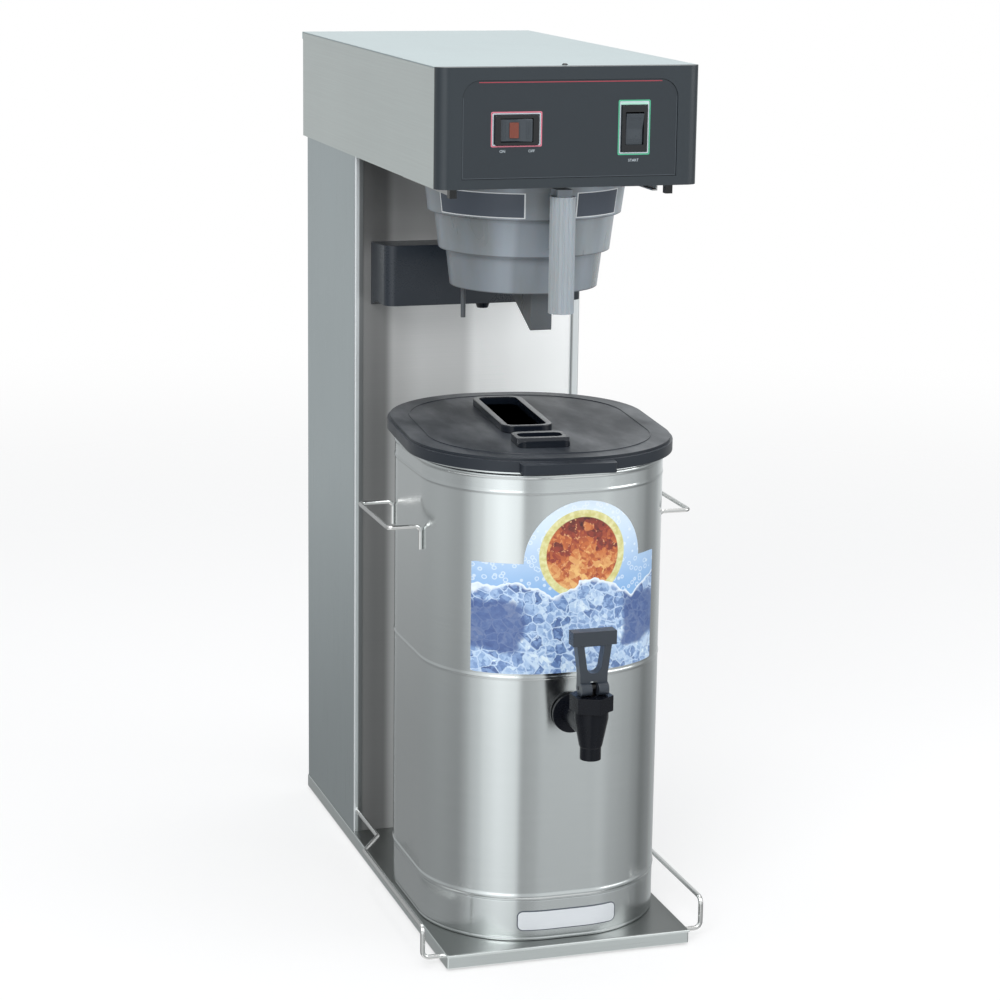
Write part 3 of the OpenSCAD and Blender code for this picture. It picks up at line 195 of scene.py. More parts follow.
class Tree:
    """Thin wrapper that builds a material's node tree."""

    def __init__(self, name: str) -> None:
        """Starts an empty material.

        Args:
            name: The material's name.
        """
        self.material = bpy.data.materials.new(name)
        self.material.use_nodes = True
        self.tree = self.material.node_tree
        self.tree.nodes.clear()
        self.out = self.add("OutputMaterial")
        self.shader = self.add("BsdfPrincipled")
        self.link(self.shader.outputs["BSDF"], self.out.inputs["Surface"])
        self.coords = self.add("TexCoord").outputs["Object"]

    def add(self, kind: str, inputs: dict[Any, Any] | None = None, **options: Any) -> Any:
        """Adds a node.

        Args:
            kind: The node's type, without the words it starts with.
            inputs: Plain values or output sockets by the input's name or number.
            options: The node's own properties.

        Returns:
            The node.
        """
        node = self.tree.nodes.new("ShaderNode" + kind)
        for name, value in options.items():
            setattr(node, name, value)
        for key, value in (inputs or {}).items():
            self.feed(node.inputs[key], value)
        return node

    def link(self, source: Any, target: Any) -> None:
        """Joins an output socket to an input socket."""
        self.tree.links.new(source, target)

    def feed(self, target: Any, value: Any) -> None:
        """Sets an input from a number, a colour or another node's output.

        Args:
            target: The input socket.
            value: A plain value or an output socket.
        """
        if isinstance(value, bpy.types.NodeSocket):
            self.link(value, target)
        elif value is not None:
            if target.type == "RGBA" and len(value) == 3:
                value = (*value, 1.0)
            target.default_value = value

    def set(self, **values: Any) -> None:
        """Sets the principled shader's sockets; underscores stand for blanks."""
        for name, value in values.items():
            self.feed(self.shader.inputs[name.replace("_", " ")], value)

    def stretch(self, scale: Place) -> Any:
        """Gives the object's coordinates scaled per axis."""
        return self.add("Mapping", {"Vector": self.coords, "Scale": scale}).outputs["Vector"]

    def noise(self, vector: Any, scale: float, detail: float = 3.0,
              roughness: float = 0.55) -> Any:
        """Gives a noise texture's factor."""
        return self.add("TexNoise", {"Vector": vector, "Scale": scale, "Detail": detail,
                                     "Roughness": roughness}).outputs["Fac"]

    def cells(self, vector: Any, scale: float, feature: str = "F1") -> Any:
        """Gives the distance output of a Voronoi texture."""
        return self.add("TexVoronoi", {"Vector": vector, "Scale": scale},
                        feature=feature).outputs["Distance"]

    def math(self, how: str, a: Any, b: Any = 0.0) -> Any:
        """Combines two values with a Math node and gives its output."""
        return self.add("Math", {0: a, 1: b}, operation=how).outputs[0]

    def product(self, *values: Any) -> Any:
        """Multiplies values and gives the result's socket."""
        return reduce(lambda a, b: self.math("MULTIPLY", a, b), values)

    def total(self, *values: Any) -> Any:
        """Adds values and gives the result's socket."""
        return reduce(lambda a, b: self.math("ADD", a, b), values)

    def span(self, value: Any, low: float, high: float, to_low: float = 0.0,
             to_high: float = 1.0, smooth: bool = True) -> Any:
        """Maps a value from one range to another, clamped.

        Args:
            value: The socket to map.
            low: Input that gives to_low.
            high: Input that gives to_high.
            to_low: Result at the low end.
            to_high: Result at the high end.
            smooth: Whether the step is eased at both ends.

        Returns:
            The mapped output socket.
        """
        return self.add("MapRange", {"Value": value, "From Min": low, "From Max": high,
                                     "To Min": to_low, "To Max": to_high},
                        interpolation_type="SMOOTHSTEP" if smooth else "LINEAR").outputs["Result"]

    def ramp(self, value: Any, stops: Sequence[tuple[float, Any]], ease: str = "LINEAR") -> Any:
        """Gives a colour from a row of stops.

        Args:
            value: The socket to look up.
            stops: Values in rising order, each with its grey level or colour.
            ease: How the ramp runs from stop to stop.

        Returns:
            The colour's output socket.
        """
        low, high = stops[0][0], stops[-1][0]
        node = self.add("ValToRGB")
        node.color_ramp.interpolation = ease
        marks = node.color_ramp.elements
        while len(marks) < len(stops):
            marks.new(0.5)
        for mark, (at, level) in zip(marks, stops):
            mark.position = (at - low) / (high - low)
            mark.color = (*level, 1.0) if isinstance(level, tuple) else (level,) * 3 + (1.0,)
        self.link(self.span(value, low, high, smooth=False), node.inputs[0])
        return node.outputs["Color"]

    def mix(self, factor: Any, a: Any, b: Any, how: str = "MIX") -> Any:
        """Blends two colours and gives the result's socket."""
        return self.add("Mix", {0: factor, 6: a, 7: b}, data_type="RGBA",
                        blend_type=how).outputs[2]

    def times(self, a: Any, b: Any) -> Any:
        """Multiplies two colours and gives the result's socket."""
        return self.mix(1.0, a, b, "MULTIPLY")

    def reach(self, x: Any, y: Any) -> Any:
        """Gives the length of a step of x sideways and y across it."""
        return self.math("SQRT", self.total(self.math("POWER", x, 2.0),
                                            self.math("POWER", y, 2.0)))

    def split(self) -> Sequence[Any]:
        """Gives the object coordinates' three parts."""
        return tuple(self.add("SeparateXYZ", {0: self.coords}).outputs)

    def join(self, x: Any, y: Any, z: Any) -> Any:
        """Makes a vector from three values."""
        return self.add("CombineXYZ", {0: x, 1: y, 2: z}).outputs[0]

    def bump(self, height: Any, distance: float) -> None:
        """Gives the shader a bump of the stated depth in metres."""
        node = self.add("Bump", {"Distance": distance, "Strength": 1.0, "Height": height})
        self.set(Normal=node.outputs["Normal"])


# ---------------------------------------------------------------- finishes


@dataclass(frozen=True)
class BrushedSteel:
    """Stainless sheet with a brushed grain, faint smears and a soft sheen; ramps across and up it
    can carry painted shade and painted highlight, and a glow can add painted light.
    """

    name: str
    grain: Axis = Axis.Z
    colour: Colour = (0.62, 0.64, 0.65)
    rough: float = 0.3
    anisotropy: float = 0.0
    contrast: float = 1.0
    metal: float = 1.0
    # across and upward: grey levels along x and z that multiply the colour, painted shade and
    # painted highlight.
    across: Profile = ()
    upward: Profile = ()
    # glow: the sheet lights itself in its own colour, painted light.
    glow: float = 0.0

    def build(self) -> bpy.types.Material:
        """Makes the material.

        Returns:
            The material.
        """
        t = Tree(self.name)
        scales = {Axis.X: (6, 900, 900), Axis.Y: (900, 6, 900), Axis.Z: (900, 900, 6),
                  Axis.ROUND: (12, 12, 2600)}
        lines = t.noise(t.stretch(scales[self.grain]), 1.0, 3.0, 0.7)
        broad = t.noise(t.stretch((5, 5, 5)), 1.0, 2.0)
        smears = t.noise(t.stretch((30, 30, 12)), 1.0, 4.0, 0.6)
        dark = tuple(c * (1 - 0.14 * self.contrast) for c in self.colour)
        light = tuple(min(1.0, c * (1 + 0.06 * self.contrast)) for c in self.colour)
        tone = t.total(t.product(lines, 0.62), t.product(broad, 0.38))
        face = t.mix(t.span(tone, 0.3, 0.7, smooth=False), dark, light)
        # Painted shade and painted highlight: the colour is multiplied by the across and upward
        # ramps.
        for levels, part in ((self.across, 0), (self.upward, 2)):
            if levels:
                face = t.times(face, t.ramp(t.split()[part], levels, "EASE"))
        wear = t.span(smears, 0.45, 0.75, 0.0, 0.04 * self.contrast)
        sheen = t.span(lines, 0.25, 0.75, self.rough * 0.88, self.rough * 1.08, smooth=False)
        t.set(Base_Color=face, Metallic=self.metal, Roughness=t.total(sheen, wear),
              Anisotropic=self.anisotropy)
        # Painted light: the sheet glows in its own colour, though it is no lamp.
        if self.glow > 0:
            t.set(Emission_Color=face, Emission_Strength=self.glow)
        if self.anisotropy > 0:
            t.set(Tangent=t.join(0.0, 0.0, 1.0))
        t.bump(lines, 0.000009 * self.contrast)
        return t.material


@dataclass(frozen=True)
class BrightWire:
    """Polished round wire with fine drawing marks."""

    name: str
    colour: Colour = (0.74, 0.74, 0.73)
    rough: float = 0.14

    def build(self) -> bpy.types.Material:
        """Makes the material.

        Returns:
            The material.
        """
        t = Tree(self.name)
        marks = t.noise(t.stretch((400, 400, 400)), 1.0, 2.0)
        haze = t.noise(t.stretch((30, 30, 30)), 1.0, 3.0)
        t.set(Base_Color=t.mix(haze, tuple(c * 0.85 for c in self.colour), self.colour),
              Metallic=1.0, Roughness=t.span(marks, 0.3, 0.7, self.rough * 0.7, self.rough * 1.5))
        t.bump(marks, 0.000008)
        return t.material


@dataclass(frozen=True)
class Moulded:
    """Moulded plastic, rubber or cast metal with a fine texture and slight wear."""

    name: str
    colour: Colour
    rough: float = 0.42
    texture: float = 0.00003
    grain: float = 1400.0
    coat: float = 0.0
    haze: float = 0.05
    gloss: float = 0.5
    cloud: tuple[float, float, float] = (22.0, 22.0, 22.0)
    polish: float = 0.04
    metal: float = 0.0

    def build(self) -> bpy.types.Material:
        """Makes the material.

        Returns:
            The material.
        """
        t = Tree(self.name)
        fine = t.noise(t.stretch((1, 1, 1)), self.grain, 2.0)
        cloud = t.noise(t.stretch(self.cloud), 1.0, 4.0, 0.6)
        light = tuple(c + self.haze * 0.35 * (c + 0.08) for c in self.colour)
        t.set(Base_Color=t.mix(t.span(cloud, 0.35, 0.7), self.colour, light),
              Roughness=t.total(t.span(cloud, 0.3, 0.75, self.rough + self.polish,
                                       self.rough - self.polish),
                                t.span(fine, 0.3, 0.7, -0.02, 0.03)),
              Coat_Weight=self.coat, Coat_Roughness=0.12, Specular_IOR_Level=self.gloss,
              Metallic=self.metal)
        t.bump(fine, self.texture)
        return t.material


@dataclass(frozen=True)
class SmokePlastic:
    """Translucent grey plastic of the brew funnel, with flow marks in a warmer tint, and painted
    shade and painted highlight in bands across it and up it.
    """

    name: str
    colour: Colour = (0.212, 0.242, 0.272)
    rough: float = 0.3
    # across and upward: grey levels along x and z that multiply the colour, painted shade and
    # painted highlight.
    across: Profile = ((-0.11, 1.0), (0.11, 1.0))
    upward: Profile = ((0.6, 1.0), (0.8, 1.0))

    def build(self) -> bpy.types.Material:
        """Makes the material.

        Returns:
            The material.
        """
        t = Tree(self.name)
        flow = t.noise(t.stretch((26, 26, 5)), 1.0, 3.0)
        fine = t.noise(t.stretch((1, 1, 1)), 900.0, 2.0)
        warm = (self.colour[0] * 0.98, self.colour[1] * 0.95, self.colour[2] * 0.88)
        light = tuple(c * 1.12 for c in self.colour)
        face = t.mix(t.span(flow, 0.35, 0.65), warm, light)
        # Painted shade and painted highlight: the colour is multiplied by the across and upward
        # ramps.
        for part, levels in ((0, self.across), (2, self.upward)):
            face = t.times(face, t.ramp(t.split()[part], levels))
        t.set(Base_Color=face,
              Roughness=t.span(flow, 0.3, 0.7, self.rough - 0.05, self.rough + 0.07),
              Subsurface_Weight=0.12, Subsurface_Scale=0.004, IOR=1.5)
        t.bump(fine, 0.000015)
        return t.material


@dataclass(frozen=True)
class SignalLens:
    """Orange switch lens with a ribbed face and a faint glow of its own colour."""

    name: str
    colour: Colour = (0.2, 0.05, 0.03)

    def build(self) -> bpy.types.Material:
        """Makes the material.

        Returns:
            The material.
        """
        t = Tree(self.name)
        ribs = t.noise(t.stretch((900, 10, 10)), 1.0, 1.0)
        t.set(Base_Color=t.mix(ribs, tuple(c * 0.7 for c in self.colour), self.colour),
              Roughness=0.28, Subsurface_Weight=0.2, Subsurface_Scale=0.002,
              Emission_Color=self.colour, Emission_Strength=0.08)
        t.bump(ribs, 0.00004)
        return t.material


@dataclass(frozen=True)
class PrintedFilm:
    """Front decal: a plain mosaic sun over frosty blue tiles, with small bubbles above them."""

    name: str
    sun_x: float = 0.010
    sun_z: float = 0.420
    sun_r: float = 0.038
    low: float = 0.2995

    def tiles(self, t: Tree, where: Any, scale: float) -> tuple[Any, Any]:
        """Gives each irregular tile's own level, and how near its seam a point is.

        Args:
            t: The tree that gets the nodes.
            where: The flat coordinates.
            scale: Tiles per metre.

        Returns:
            The level's socket and the distance's socket.
        """
        warp = t.noise(where, 90.0, 3.0)
        bent = t.add("Mapping", {"Vector": where, "Location": t.join(
            t.product(warp, 0.012), 0.0, t.product(warp, -0.01))}).outputs["Vector"]
        colour = t.add("TexVoronoi", {"Vector": bent, "Scale": scale}).outputs["Color"]
        level = t.add("SeparateXYZ", {0: colour}).outputs[0]
        return level, t.cells(bent, scale, "DISTANCE_TO_EDGE")

    def build(self) -> bpy.types.Material:
        """Makes the material.

        Returns:
            The material.
        """
        t = Tree(self.name)
        x, _, z = t.split()
        flat = t.join(x, 0.0, z)
        up = t.math("SUBTRACT", z, self.low)
        mottle = t.noise(flat, 230.0, 4.0, 0.7)
        sky = t.mix(t.span(up, 0.07, 0.17), (0.24, 0.45, 0.76), (0.7, 0.82, 0.93))
        bubble = t.cells(flat, 150.0)
        ring = t.product(t.span(bubble, 0.2, 0.27), t.span(bubble, 0.4, 0.32), 0.55)
        sky = t.mix(ring, sky, (0.86, 0.93, 0.98))
        level, seam = self.tiles(t, flat, 95.0)
        small, _ = self.tiles(t, flat, 290.0)
        tone = t.total(t.product(level, 0.45), t.product(small, 0.3), t.product(mottle, 0.25))
        ice = t.ramp(tone, ((0.1, (0.05, 0.09, 0.24)), (0.35, (0.13, 0.23, 0.46)),
                            (0.5, (0.24, 0.37, 0.62)), (0.66, (0.4, 0.56, 0.78)),
                            (0.85, (0.76, 0.87, 0.94))))
        ice = t.mix(t.span(seam, 0.08, 0.0), ice, (0.55, 0.69, 0.86))
        drift = t.product(t.math("SUBTRACT", t.noise(flat, 24.0, 3.0), 0.5), 0.05)
        side, level_up = t.math("ABSOLUTE", t.total(x, drift)), t.total(up, drift)
        deep = t.product(t.span(side, 0.05, 0.058), t.span(level_up, 0.018, 0.026),
                         t.span(level_up, 0.078, 0.07), 0.85)
        ice = t.mix(deep, ice, t.mix(mottle, (0.03, 0.055, 0.2), (0.08, 0.15, 0.36)))
        crest = t.total(t.product(t.math("SINE", t.product(x, 75.0)), 0.006), drift, 0.088)
        under = t.math("SUBTRACT", crest, up)
        foam = t.mix(t.span(under, 0.005, 0.0005), ice, (0.8, 0.88, 0.96))
        away = t.reach(t.math("SUBTRACT", x, self.sun_x), t.math("SUBTRACT", z, self.sun_z))
        heat = t.total(t.product(level, 0.4), t.product(small, 0.25),
                       t.product(t.span(up, 0.16, 0.085), 0.45))
        core = t.ramp(heat, ((0.1, (0.07, 0.015, 0.015)), (0.4, (0.3, 0.045, 0.025)),
                             (0.62, (0.56, 0.15, 0.04)), (0.95, (0.82, 0.5, 0.18))))
        core = t.mix(t.span(t.total(seam, mottle), 0.47, 0.42), core, (0.7, 0.35, 0.16))
        rim = t.mix(t.span(t.noise(flat, 160.0), 0.3, 0.7), (0.6, 0.56, 0.2), (0.78, 0.76, 0.42))
        art = t.mix(t.span(away, self.sun_r + 0.0075, self.sun_r + 0.007), sky, rim)
        art = t.mix(t.span(away, self.sun_r + 0.0005, self.sun_r - 0.0005), art, core)
        art = t.mix(t.span(under, -0.0003, 0.0003), art, foam)
        t.set(Base_Color=art, Roughness=0.3, Coat_Weight=0.25, Coat_Roughness=0.15)
        t.bump(t.noise(flat, 900.0), 0.00001)
        return t.material


class Finishes:
    """All the machine's finishes, made once and handed out by name."""

    def __init__(self) -> None:
        """Builds every material."""
        made = [
            BrushedSteel("steel_top", Axis.Y, (0.6, 0.7, 0.715), 0.32, contrast=0.5),
            BrushedSteel("steel_side", Axis.Y, (0.8, 0.85, 0.83), 0.34, contrast=0.5),
            # Painted shade: the column's sheet is darker towards the bottom.
            BrushedSteel("steel_column_painted_shade", Axis.Z, (0.6, 0.67, 0.685), 0.3, contrast=0.6,
                         upward=((0.0, 0.82), (0.3, 0.93), (0.7, 1.0), (0.9, 1.0))),
            # Painted highlight on the outer strip of each front flange, and painted shade on its
            # inner strip.
            BrushedSteel("steel_flange_painted_light", Axis.Z, (0.8, 0.83, 0.84), 0.4, contrast=0.2, metal=0.9,
                         across=((-0.13, 0.5), (-0.1279, 0.6), (-0.1273, 1.0), (-0.1238, 1.0),
                                 (-0.123, 0.3), (-0.118, 0.25), (0.118, 0.3), (0.1205, 0.35),
                                 (0.1215, 1.0), (0.13, 1.0))),
            # Painted shade and painted highlight: darker on the left beside the tank and brighter
            # to the right, a brighter band near 0.62 m and darker above 0.7 m under the hood; a
            # faint painted glow on top.
            BrushedSteel("steel_splash_painted_light", Axis.X, (0.97, 1.0, 0.99), 0.45, metal=0.5,
                         contrast=0.5, glow=0.18,
                         across=((-0.13, 0.16), (-0.117, 0.18), (-0.105, 0.16), (-0.095, 0.17),
                                 (-0.083, 0.41), (-0.05, 0.53), (-0.007, 0.53), (0.012, 0.8),
                                 (0.035, 0.85), (0.06, 0.93), (0.11, 0.95)),
                         upward=((0.0, 0.9), (0.5, 1.0), (0.615, 1.15), (0.66, 1.1),
                                 (0.7, 0.6), (0.73, 0.48), (0.79, 0.45))),
            # Shaded copy of the tray's steel for its top, painted shade, and darker still towards
            # the right.
            BrushedSteel("steel_tray_painted_shade", Axis.X, (0.3, 0.315, 0.31), 0.33, contrast=0.5,
                         across=((-0.13, 1.0), (0.05, 0.95), (0.11, 0.62), (0.13, 0.6))),
            # Painted light: the tank's inner face glows a little.
            BrushedSteel("tank_inside_painted_glow", Axis.Z, (0.7, 0.73, 0.73), 0.35, contrast=0.4, glow=0.1),
            # Brighter copy of the tray's steel for its upright faces: painted light.
            BrushedSteel("tray_sides_painted_light", Axis.X, (0.74, 0.78, 0.77), 0.3, contrast=0.4),
            BrushedSteel("steel_plate", Axis.X, (0.82, 0.85, 0.88), 0.35, contrast=0.3, metal=0.5),
            BrushedSteel("steel_tank", Axis.ROUND, (0.66, 0.69, 0.69), 0.2, 0.7, 0.35),
            BrushedSteel("steel_inner", Axis.Z, (0.5, 0.5, 0.5), 0.36),
            BrightWire("bright_wire"),
            BrightWire("dull_pin", (0.06, 0.06, 0.06), 0.4),
            Moulded("fascia_black", (0.016, 0.024, 0.031), 0.34, 0.00002, 900, 0.1),
            Moulded("overlay_black", (0.016, 0.023, 0.03), 0.33, 0.000008, 1800),
            Moulded("box_black", (0.011, 0.017, 0.026), 0.3, 0.00003, 900),
            Moulded("key_slate", (0.042, 0.052, 0.062), 0.3, 0.00002, 900),
            Moulded("switch_black", (0.006, 0.007, 0.009), 0.22, 0.00001, 900),
            Moulded("gloss_black", (0.006, 0.009, 0.015), 0.15, 0.000008, 700),
            Moulded("tap_black", (0.004, 0.005, 0.008), 0.24, 0.000015, 900, gloss=0.18),
            # Lighter copy of the tap's black plastic: painted highlight on the lever.
            Moulded("lever_black_painted_highlight", (0.028, 0.036, 0.047), 0.3, 0.000015, 900, gloss=0.5),
            Moulded("lid_slate", (0.012, 0.017, 0.025), 0.38, 0.00003, 1100, 0.0, 2.2,
                    cloud=(13.0, 5.0, 13.0), polish=0.1),
            Moulded("lid_edge", (0.014, 0.019, 0.027), 0.38, 0.00003, 1100, gloss=0.35),
            Moulded("print_red", (0.33, 0.04, 0.06), 0.4, 0.0),
            Moulded("print_pink", (0.62, 0.17, 0.23), 0.4, 0.0),
            Moulded("print_green", (0.07, 0.42, 0.24), 0.4, 0.0),
            Moulded("print_mint", (0.42, 0.72, 0.6), 0.4, 0.0),
            Moulded("print_white", (0.72, 0.75, 0.76), 0.45, 0.0),
            Moulded("print_pale", (0.5, 0.56, 0.6), 0.45, 0.0),
            Moulded("print_border", (0.07, 0.085, 0.1), 0.4, 0.0),
            Moulded("print_slate", (0.055, 0.07, 0.095), 0.4, 0.0),
            Moulded("rubber_black", (0.02, 0.02, 0.02), 0.7, 0.00005),
            Moulded("rubber_red", (0.3, 0.05, 0.03), 0.6),
            Moulded("nylon_white", (0.66, 0.65, 0.6), 0.5),
            Moulded("silicone", (0.6, 0.6, 0.56), 0.45),
            Moulded("valve_blue", (0.05, 0.12, 0.22), 0.4),
            Moulded("board_green", (0.02, 0.16, 0.06), 0.4),
            Moulded("brass", (0.5, 0.33, 0.1), 0.3, metal=1.0),
            # Painted highlight and painted shade in upright bands across the funnel; painted shade
            # on the chute below the bowl and in thin lines at the tier steps.
            SmokePlastic("smoke_plastic",
                         across=((-0.11, 1.05), (-0.08, 0.85), (-0.066, 0.86), (-0.056, 1.0),
                                 (-0.046, 1.2), (-0.038, 1.2), (-0.032, 0.9), (-0.012, 0.92),
                                 (0.02, 1.1), (0.04, 1.35), (0.056, 1.2), (0.066, 1.5),
                                 (0.084, 1.3), (0.11, 1.4)),
                         upward=((0.62, 0.31), (0.664, 0.34), (0.6645, 0.32), (0.6655, 0.32),
                                 (0.666, 0.84), (0.7018, 0.88), (0.7024, 0.45), (0.7036, 0.45),
                                 (0.7042, 1.0), (0.7398, 1.0), (0.7404, 0.45), (0.7416, 0.45),
                                 (0.7422, 1.0), (0.78, 1.0))),
            # Lighter copy of the funnel's plastic for its handle: painted highlight.
            SmokePlastic("smoke_handle_painted_highlight", (0.29, 0.327, 0.36), 0.34),
            SignalLens("orange_lens"),
            PrintedFilm("printed_film"),
        ]
        self.by_name = {finish.name: finish.build() for finish in made}

    def get(self, name: str) -> bpy.types.Material:
        """Gives the material of that name."""
        return self.by_name[name]


# ---------------------------------------------------------------- workshop


@dataclass(frozen=True)
class Oval:
    """Rounded oval in plan: half width, half depth, corner radius, centre and turn."""

    a: float
    b: float
    r: float
    cx: float = 0.0
    cy: float = 0.0
    turn: float = 0.0

    def ring(self, bm: bmesh.types.BMesh, z: float, steps: int) -> list[Any]:
        """Draws the oval's outline as a closed ring of edges.

        Args:
            bm: The empty mesh that gets the ring.
            z: The ring's height.
            steps: Segments in each corner.

        Returns:
            The ring's edges.
        """
        place = Matrix.Translation((0, 0, z)) @ Matrix.Diagonal((self.a, self.b, 1, 1))
        made = bmesh.ops.create_grid(bm, x_segments=1, y_segments=1, size=1.0, matrix=place)
        round_off(bm, made["verts"], self.r, steps, "VERTICES")
        face = max(bm.faces, key=lambda f: len(f.verts))
        edges = list(face.edges)
        bmesh.ops.delete(bm, geom=[face], context="FACES_ONLY")
        return edges

    def place(self, verts: Iterable[Any], out: float, z: float) -> None:
        """Puts ring vertices at a distance outside the oval and at a height.

        Args:
            verts: The vertices.
            out: Their distance outside the oval.
            z: Their height.
        """
        for v in verts:
            kx = max(-self.a + self.r, min(self.a - self.r, v.co.x))
            ky = max(-self.b + self.r, min(self.b - self.r, v.co.y))
            away = Vector((v.co.x - kx, v.co.y - ky))
            away.normalize()
            v.co = Vector((kx + away.x * (self.r + out), ky + away.y * (self.r + out), z))

    def wall(self, bm: bmesh.types.BMesh, profile: Profile,
             steps: int) -> None:
        """Lofts a wall along a profile of (distance outside the oval, height) points.

        Args:
            bm: The mesh that gets the wall.
            profile: The profile's points in order.
            steps: Segments in each corner.
        """
        before = set(bm.verts)
        edges = self.ring(bm, profile[0][1], steps)
        self.place({v for e in edges for v in e.verts}, *profile[0])
        for out, z in profile[1:]:
            made = set(bmesh.ops.extrude_edge_only(bm, edges=edges)["geom"])
            edges = [e for e in only(bmesh.types.BMEdge, made) if made.issuperset(e.verts)]
            self.place({v for e in edges for v in e.verts}, out, z)
        new = [v for v in bm.verts if v not in before]
        move = Matrix.Translation((self.cx, self.cy, 0)) @ Matrix.Rotation(
            math.radians(self.turn), 4, "Z")
        bmesh.ops.transform(bm, matrix=move, verts=new)


class Shape:
    """A bmesh under construction, in millimetres, with a maker's usual operations."""

    def __init__(self) -> None:
        """Starts empty."""
        self.bm = bmesh.new()

    def cube(self, low: Vector, high: Vector) -> list[Any]:
        """Adds a plain box between two corners and gives its vertices."""
        place = Matrix.Translation((low + high) / 2) @ Matrix.Diagonal((*(high - low), 1))
        return bmesh.ops.create_cube(self.bm, size=1.0, matrix=place)["verts"]

    def block(self, low: Place, high: Place, bevel: float = 0.0,
              segments: int = 2) -> "Shape":
        """Adds a box between two corners, its edges rounded.

        Args:
            low: The lowest corner.
            high: The highest corner.
            bevel: Radius of every edge, or 0.
            segments: Facets across a rounded edge.

        Returns:
            This shape.
        """
        made = self.cube(Vector(low), Vector(high))
        if bevel > 0:
            round_off(self.bm, list({e for v in made for e in v.link_edges}), bevel, segments)
        return self

    def round_block(self, low: Place, high: Place, radii: Place,
                    axis: int = 2, bevel: float = 0.0, segments: int = 8,
                    edge_segments: int = 2) -> "Shape":
        """Adds a box whose four edges along one axis have their own radii.

        Args:
            low: The lowest corner.
            high: The highest corner.
            radii: Radii at the corners (low low, high low, high high, low high) of the plane.
            axis: Index of the axis that the rounded edges run along.
            bevel: Radius of the two rims.
            segments: Facets across each rounded corner.
            edge_segments: Facets across the rims.

        Returns:
            This shape.
        """
        lo, hi = Vector(low), Vector(high)
        u, w = [k for k in range(3) if k != axis]
        keep = set(self.bm.verts)
        self.cube(lo, hi)
        for corner, radius in zip(((lo, lo), (hi, lo), (hi, hi), (lo, hi)), radii):
            if radius > 0:
                edges = {e for v in self.bm.verts if v not in keep for e in v.link_edges
                         if all(abs(q.co[u] - corner[0][u]) < NEAR
                                and abs(q.co[w] - corner[1][w]) < NEAR for q in e.verts)}
                round_off(self.bm, list(edges), radius, segments)
        if bevel > 0:
            new = [v for v in self.bm.verts if v not in keep]
            rims = list({e for v in new for e in v.link_edges
                         if abs((e.verts[0].co - e.verts[1].co)[axis]) < NEAR
                         and e.is_manifold and e.calc_face_angle(0) > 0.8})
            round_off(self.bm, rims, bevel, edge_segments)
        return self

    def turned(self, profile: Profile, origin: Place,
               axis: Place = (0, 0, 1), steps: int = 64) -> "Shape":
        """Adds a turned form from a profile of (radius, height along the axis) points.

        Args:
            profile: The profile's points in order.
            origin: The point on the axis at height 0.
            axis: The axis' direction.
            steps: Segments round the axis.

        Returns:
            This shape.
        """
        way = Vector(axis).normalized()
        turn = Vector((0, 0, 1)).rotation_difference(way).to_matrix().to_4x4()
        place = Matrix.Translation(Vector(origin)) @ turn
        verts = [self.bm.verts.new(place @ Vector((r, 0, h))) for r, h in profile]
        edges = [self.bm.edges.new(pair) for pair in zip(verts, verts[1:])]
        before = set(self.bm.verts)
        bmesh.ops.spin(self.bm, geom=verts + edges, cent=Vector(origin), axis=way,
                       angle=math.tau, steps=steps, use_merge=True)
        new = [v for v in self.bm.verts if v not in before] + verts
        bmesh.ops.remove_doubles(self.bm, verts=[v for v in new if v.is_valid], dist=1e-4)
        return self

    def rod(self, start: Place, end: Place, radius: float,
            bevel: float = 0.0, steps: int = 40) -> "Shape":
        """Adds a round rod between two points.

        Args:
            start: The middle of its first end.
            end: The middle of its other end.
            radius: Its radius.
            bevel: Radius of its rims, or 0.
            steps: Segments round it.

        Returns:
            This shape.
        """
        a, b = Vector(start), Vector(end)
        long = (b - a).length
        angles = (0.0, math.pi / 6, math.pi / 3, math.pi / 2) if bevel > 0 else (math.pi / 2,)
        arc = [(radius - bevel + bevel * math.sin(q), bevel - bevel * math.cos(q))
               for q in angles]
        top = [(r, long - h) for r, h in reversed(arc)]
        return self.turned([(0.0, 0.0), *arc, *top, (0.0, long)], a, b - a, steps)

    def prism(self, points: Profile, low: float, high: float,
              axis: int = 0, bevel: float = 0.0, segments: int = 2) -> "Shape":
        """Adds a straight prism over an outline of a few corners.

        Args:
            points: The outline's corners in the plane across the axis, in axis order.
            low: Where the prism starts along its axis.
            high: Where it ends.
            axis: Index of the prism's axis.
            bevel: Radius of every edge, or 0.
            segments: Facets across a rounded edge.

        Returns:
            This shape.
        """
        verts = [self.bm.verts.new(lay(point, low, axis)) for point in points]
        face = self.bm.faces.new(verts)
        made = bmesh.ops.extrude_face_region(self.bm, geom=[face])["geom"]
        tops = only(bmesh.types.BMVert, made)
        bmesh.ops.translate(self.bm, vec=lay((0, 0), high - low, axis), verts=tops)
        if bevel > 0:
            edges = list({e for v in verts + tops for e in v.link_edges})
            round_off(self.bm, edges, bevel, segments)
        return self

